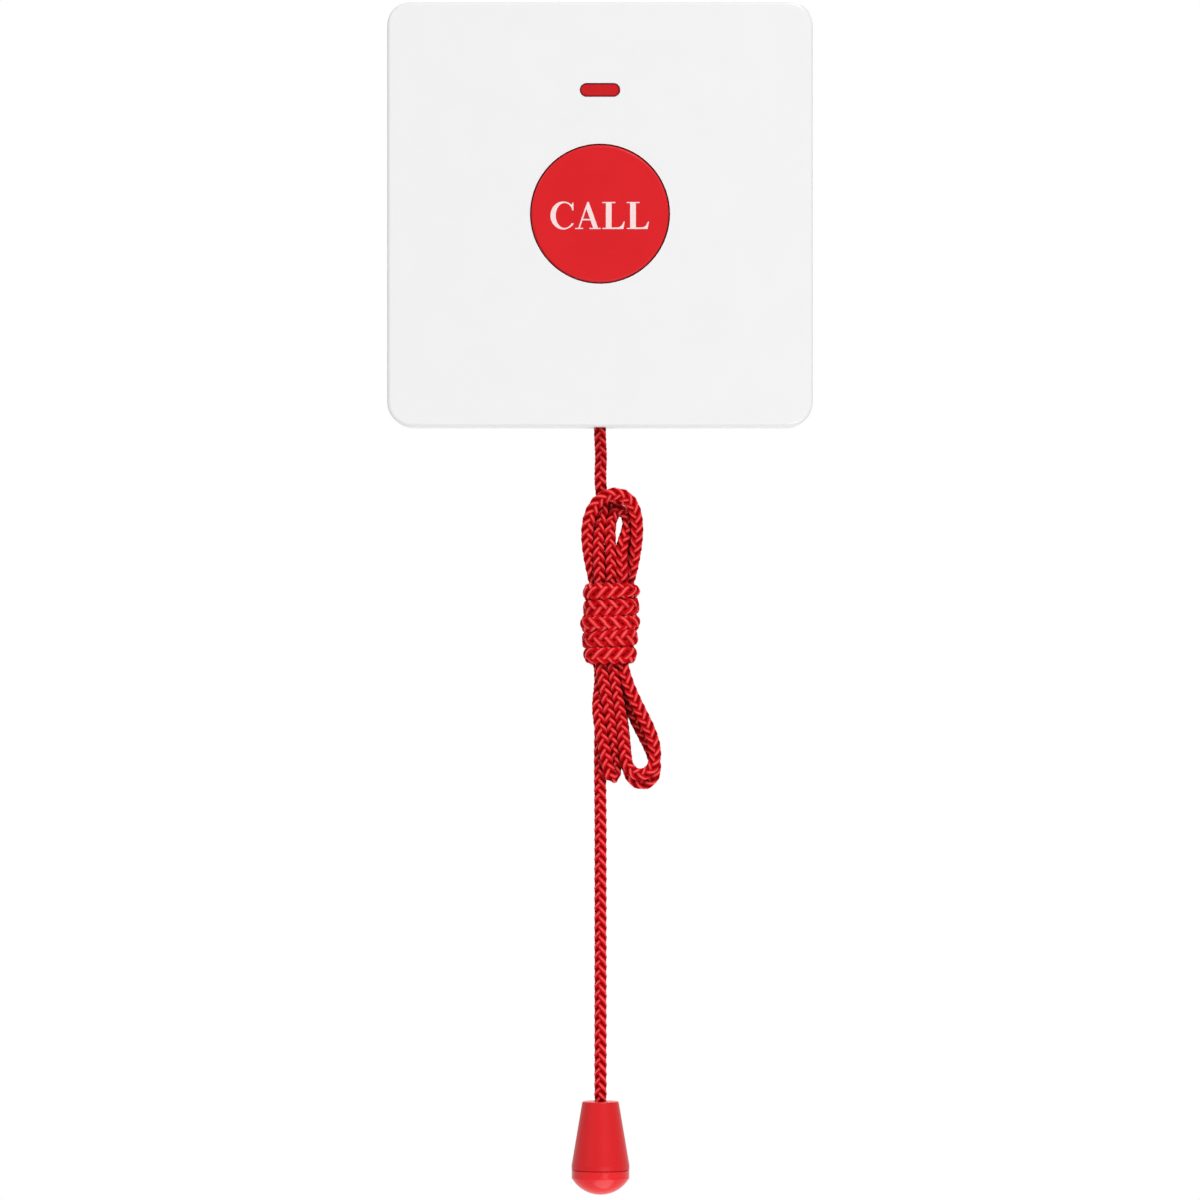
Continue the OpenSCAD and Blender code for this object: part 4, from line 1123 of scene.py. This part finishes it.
    def free_piece(self) -> Object:
        """Braids the free cord in one length, from the bush into the pull.

        Returns:
            The cord.
        """
        line, swell = self.route()
        cord = self.braid.make("pull_cord_braid", line, FINISHES.yarn, swell)
        settle(cord, "cord", ["cord_upper", "cord_hank", "cord_lower"])
        LOG.info("cord is %.0f mm long", line_length(line))
        return cord

    def stand_in(self, node: str, body: str, line: np.ndarray, braid: Braid) -> Object:
        """Braids a short stretch or a knot along a line, in place of the CAD node that stands for it."""
        return settle(braid.make(f"{node}_braid", line, FINISHES.yarn, np.zeros(len(line))), body, [node])

    def inner_piece(self) -> Object:
        """Braids the stretch that hangs from the slider down through the bush.

        Returns:
            The stretch inside the housing.
        """
        top, foot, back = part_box("inner_cord")[1].z / MM, self.mouth().z / MM, self.mouth().y / MM
        line = smooth_line([(0, back, top), (0, back, (top + foot) / 2), (0, back, foot)], self.inner_step)
        return self.stand_in("inner_cord", "slider", line, self.braid)

    def bend_piece(self) -> Object:
        """Fills the bend at the bush's mouth with a short straight stretch of braid.

        Returns:
            The bend.
        """
        reach = np.linspace(-self.bend_r, self.bend_r, self.bend_points)
        line = np.array(self.mouth()) / MM + np.outer(reach, (0, 0, 1))
        return self.stand_in("cord_bend", "bend", line, self.bend_braid)

    def knot_piece(self, node: str, body: str) -> Object:
        """Ties a stopper knot, as a trefoil, inside the ball that stands for it.

        Args:
            node: The ball's name.
            body: The CAD body that it moves with.

        Returns:
            The knot.
        """
        low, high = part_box(node)
        middle = np.array((low + high) / 2) / MM
        turn = np.linspace(0, TURN, self.knot_points)
        ring = self.knot_r + self.knot_tube_r * np.cos(3 * turn)
        line = np.column_stack([ring * np.cos(2 * turn), ring * np.sin(2 * turn), self.knot_tube_r * np.sin(3 * turn)])
        return self.stand_in(node, body, line + middle, self.knot_braid)

    def make(self) -> None:
        """Braids the free cord, its bend, the stretch inside the housing and the knots at both ends."""
        self.free_piece()
        self.inner_piece()
        self.bend_piece()
        self.knot_piece("top_knot", "slider")
        self.knot_piece("pull_knot", "cord")


# ---------------------------------------------------------------- springs


@dataclass(frozen=True)
class Spring:
    """A compression spring of round wire."""

    node: str
    joint: str
    axis: Point
    wire_d: float
    turns: float
    keep: float

    def build(self) -> Object:
        """Winds the wire where the plain spring stands.

        Returns:
            The wound spring.
        """
        low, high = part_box(self.node)
        middle, size = (low + high) / 2 / MM, (high - low) / MM
        along = Vector(self.axis)
        length = abs(size.dot(along))
        across = max(size[k] for k in range(3) if self.axis[k] == 0)
        upright = coil_line((across - self.wire_d) / 2, self.turns, length, self.wire_d)
        turned = along.to_track_quat("Z", "Y").to_matrix()
        line = (upright - [0, 0, length / 2]) @ np.array(turned).T + np.array(middle)
        spring = RoundWire(self.wire_d, self.wire_d).make(f"{self.node}_wire", line, FINISHES.spring)
        settle(spring, "housing", [self.node])
        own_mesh(spring)
        return spring


# ---------------------------------------------------------------- lettering


@dataclass(frozen=True)
class CallLegend:
    """The word on the call button, in upright letters with fine serifs, drawn from their own outlines.

    The outlines are in millimetres, with the baseline at 0 and each letter's left edge at 0.
    """

    baseline: float = -3.1
    starts: tuple[tuple[str, float], ...] = (("C", -10.0), ("A", -5.0), ("L", 0.5), ("L", 5.4))
    proud: float = 0.03
    sunk: float = 0.02
    cap: float = 5.45
    foot: float = 0.22

    def letter_a(self) -> list[list[tuple[float, float]]]:
        """Draws an A and its counter: a hairline, a crossbar and a thick stroke.

        Returns:
            Its closed outlines, right and up from the foot of its left edge.
        """
        cap, foot = self.cap, self.foot
        outline = [(0, 0), (1.6, 0), (1.6, foot), (0.93, foot), (1.46, 1.75), (3.08, 1.75), (3.62, foot), (2.9, foot),
                   (2.9, 0), (5.14, 0), (5.14, foot), (4.6, foot), (2.75, cap), (2.42, cap), (0.62, foot), (0, foot)]
        return [outline, [(1.55, 2.02), (2.26, 4.05), (2.99, 2.02)]]

    def letter_c(self) -> list[list[tuple[float, float]]]:
        """Draws a C: a large arc, a smaller one inside it and a beak.

        Returns:
            Its closed outlines, right and up from the foot of its left edge.
        """
        middle = self.cap / 2
        outer = [(2.6 + 2.6 * math.cos(a), middle + (middle + 0.1) * math.sin(a))
                 for a in np.radians(range(50, 326, 5))]
        inner = [(2.86 + 1.8 * math.cos(a), middle + (middle - 0.2) * math.sin(a))
                 for a in np.radians(range(322, 41, -5))]
        return [[(4.42, 3.75), (4.64, 3.75), (4.64, 5.35), (4.48, 5.35), *outer, *inner]]

    def letter_l(self) -> list[list[tuple[float, float]]]:
        """Draws an L: a stem with a serif, and an arm that turns up at its end.

        Returns:
            Its closed outlines, right and up from the foot of its left edge.
        """
        cap, foot = self.cap, self.foot
        return [[(0, 0), (4.2, 0), (4.5, 1.5), (4.28, 1.5), (3.9, 0.72), (3.3, 0.34), (1.84, 0.3), (1.84, cap - foot),
                 (2.6, cap - foot), (2.6, cap), (0, cap), (0, cap - foot), (0.68, cap - foot), (0.68, foot),
                 (0, foot)]]

    def build(self) -> Object:
        """Prints the word on the button's face.

        Returns:
            The printed layer.
        """
        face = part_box("call_button")[0].y / MM
        shapes = {"A": self.letter_a(), "C": self.letter_c(), "L": self.letter_l()}
        flat = bpy.data.curves.new("call_legend", "CURVE")
        flat.dimensions = "2D"
        flat.fill_mode = "BOTH"
        flat.extrude = (self.proud + self.sunk) / 2 * MM
        for letter, start in self.starts:
            for outline in shapes[letter]:
                spline = flat.splines.new("POLY")
                spline.points.add(len(outline) - 1)
                spline.use_cyclic_u = True
                for point, (x, z) in zip(spline.points, outline):
                    point.co = ((start + x) * MM, (self.baseline + z) * MM, 0, 1)
        shape = bpy.data.objects.new("call_legend_shape", flat)
        bpy.context.scene.collection.objects.link(shape)
        mesh = bpy.data.meshes.new_from_object(shape)
        bpy.data.objects.remove(shape)
        place = Matrix.Translation(metres(0, face + (self.sunk - self.proud) / 2, 0))
        mesh.transform(place @ Matrix.Rotation(math.radians(90), 4, "X"))
        mesh.materials.clear()
        mesh.materials.append(FINISHES.ink.material())
        legend = bpy.data.objects.new("call_legend", mesh)
        bpy.context.scene.collection.objects.link(legend)
        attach(legend, "button")
        LOG.info("call_legend rides on button")
        return legend


# ---------------------------------------------------------------- board


@dataclass(frozen=True)
class SolderJoints:
    """Solder cones on the board's back, where the parts' pins come through."""

    pad_r: float = 0.85
    pin_r: float = 0.32
    cone_h: float = 0.75
    # Each part's pins, as shares of its width and of its height
    rows: tuple[tuple[str, tuple[float, ...], tuple[float, ...]], ...] = (
        ("terminal_block", (0.125, 0.375, 0.625, 0.875), (0.3, 0.75)),
        ("push_switch_body", (0.12, 0.88), (0.12, 0.88)),
        ("pull_switch_body", (0.5,), (0.1, 0.5, 0.9)),
        ("indicator_led", (0.17, 0.83), (0.5,)))

    def pins(self) -> list[Vector]:
        """Works out the pins' places from the parts that stand on the board.

        Returns:
            Places on the board's back, in metres.
        """
        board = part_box("circuit_board")[1].y
        places = []
        for node, across, up in self.rows:
            low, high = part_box(node)
            places += [Vector((low.x + x * (high.x - low.x), board, low.z + z * (high.z - low.z)))
                       for x in across for z in up]
        return places

    @staticmethod
    def tree() -> NodeTree:
        """Builds the tree that sets one solder cone with its pin at each point.

        Returns:
            The tree.
        """
        tree, add, size = new_geometry_tree("Solder joints", {
            "Material": "Material", "Pad radius": "Float", "Pin radius": "Float", "Height": "Float"})
        cone = add("GeometryNodeMeshCone", {
            "Vertices": 12, "Side Segments": 3, "Radius Top": size["Pin radius"], "Radius Bottom": size["Pad radius"],
            "Depth": size["Height"]})
        spots = add("GeometryNodeMeshToPoints", {"Mesh": size["Geometry"]})
        set_out = add("GeometryNodeInstanceOnPoints", {
            "Points": spots, "Instance": cone, "Rotation": (math.radians(-90), 0, 0)})
        end_geometry_tree(add, set_out, size["Material"])
        return tree

    def build(self) -> Object:
        """Solders every pin.

        Returns:
            The joints as one piece.
        """
        piece = mesh_piece("solder_joints", self.pins())
        run_tree(piece, self.tree(), {
            "Material": FINISHES.solder.material(), "Pad radius": self.pad_r * MM,
            "Pin radius": self.pin_r * MM, "Height": self.cone_h * MM})
        return settle(piece, "housing")


# ---------------------------------------------------------------- sub-assemblies


@dataclass
class Housing(SubAssembly):
    """The moulded cover, the base on the wall and the bush that the cord leaves by."""

    wears: ClassVar = {"front_cover": FINISHES.cover, "rear_base": FINISHES.base, "cord_bush": FINISHES.cover}


@dataclass
class CallButton(SubAssembly):
    """The red button with its printed word, the spring behind it and the ring that keeps it in."""

    legend: CallLegend = CallLegend()
    spring: Spring = Spring("button_spring", "button_press", (0, 1, 0), wire_d=0.6, turns=3.5, keep=0.74)
    wears: ClassVar = {
        "call_button": FINISHES.button, "button_retainer": FINISHES.natural, "retainer_screws": FINISHES.steel}

    def make(self) -> None:
        """Prints the word and winds the spring."""
        self.legend.build()
        self.spring.build()


@dataclass
class Indicator(SubAssembly):
    """The red window above the button and the lamp behind it."""

    wears: ClassVar = {"indicator_lens": FINISHES.lens, "indicator_led": FINISHES.lens}


@dataclass
class SwitchBoard(SubAssembly):
    """The circuit board with both switches, the terminals and their solder."""

    joints: SolderJoints = SolderJoints()
    wears: ClassVar = {
        "circuit_board": FINISHES.board, "board_screws": FINISHES.steel, "board_parts": FINISHES.black,
        "push_switch_body": FINISHES.black, "push_switch_plunger": FINISHES.natural,
        "pull_switch_body": FINISHES.black, "pull_switch_lever": FINISHES.spring,
        "pull_switch_plunger": FINISHES.natural, "terminal_block": FINISHES.terminal,
        "terminal_screws": FINISHES.steel}

    def make(self) -> None:
        """Solders the board."""
        self.joints.build()


@dataclass
class PullMechanism(SubAssembly):
    """The slider that the cord draws down, its spring and its guide's cap."""

    spring: Spring = Spring("pull_spring", "cord_pull", (0, 0, -1), wire_d=0.5, turns=8, keep=0.62)
    wears: ClassVar = {
        "pull_slider": FINISHES.natural, "guide_cap": FINISHES.natural, "guide_screws": FINISHES.steel}

    def make(self) -> None:
        """Winds the spring."""
        self.spring.build()


@dataclass
class Pull(SubAssembly):
    """The bell-shaped pull: its tapered body and its domed cap."""

    wears: ClassVar = {"pull_body": FINISHES.pull, "pull_cap": FINISHES.cap}


# ---------------------------------------------------------------- main


def main() -> None:
    """Builds every sub-assembly in order and reports its pieces."""
    logging.basicConfig(level=logging.INFO, format="%(message)s")
    Studio().build()
    for part in (Housing(), CallButton(), Indicator(), SwitchBoard(), PullMechanism(), PullCord(), Pull()):
        part.build()


if __name__ == "__main__":
    main()
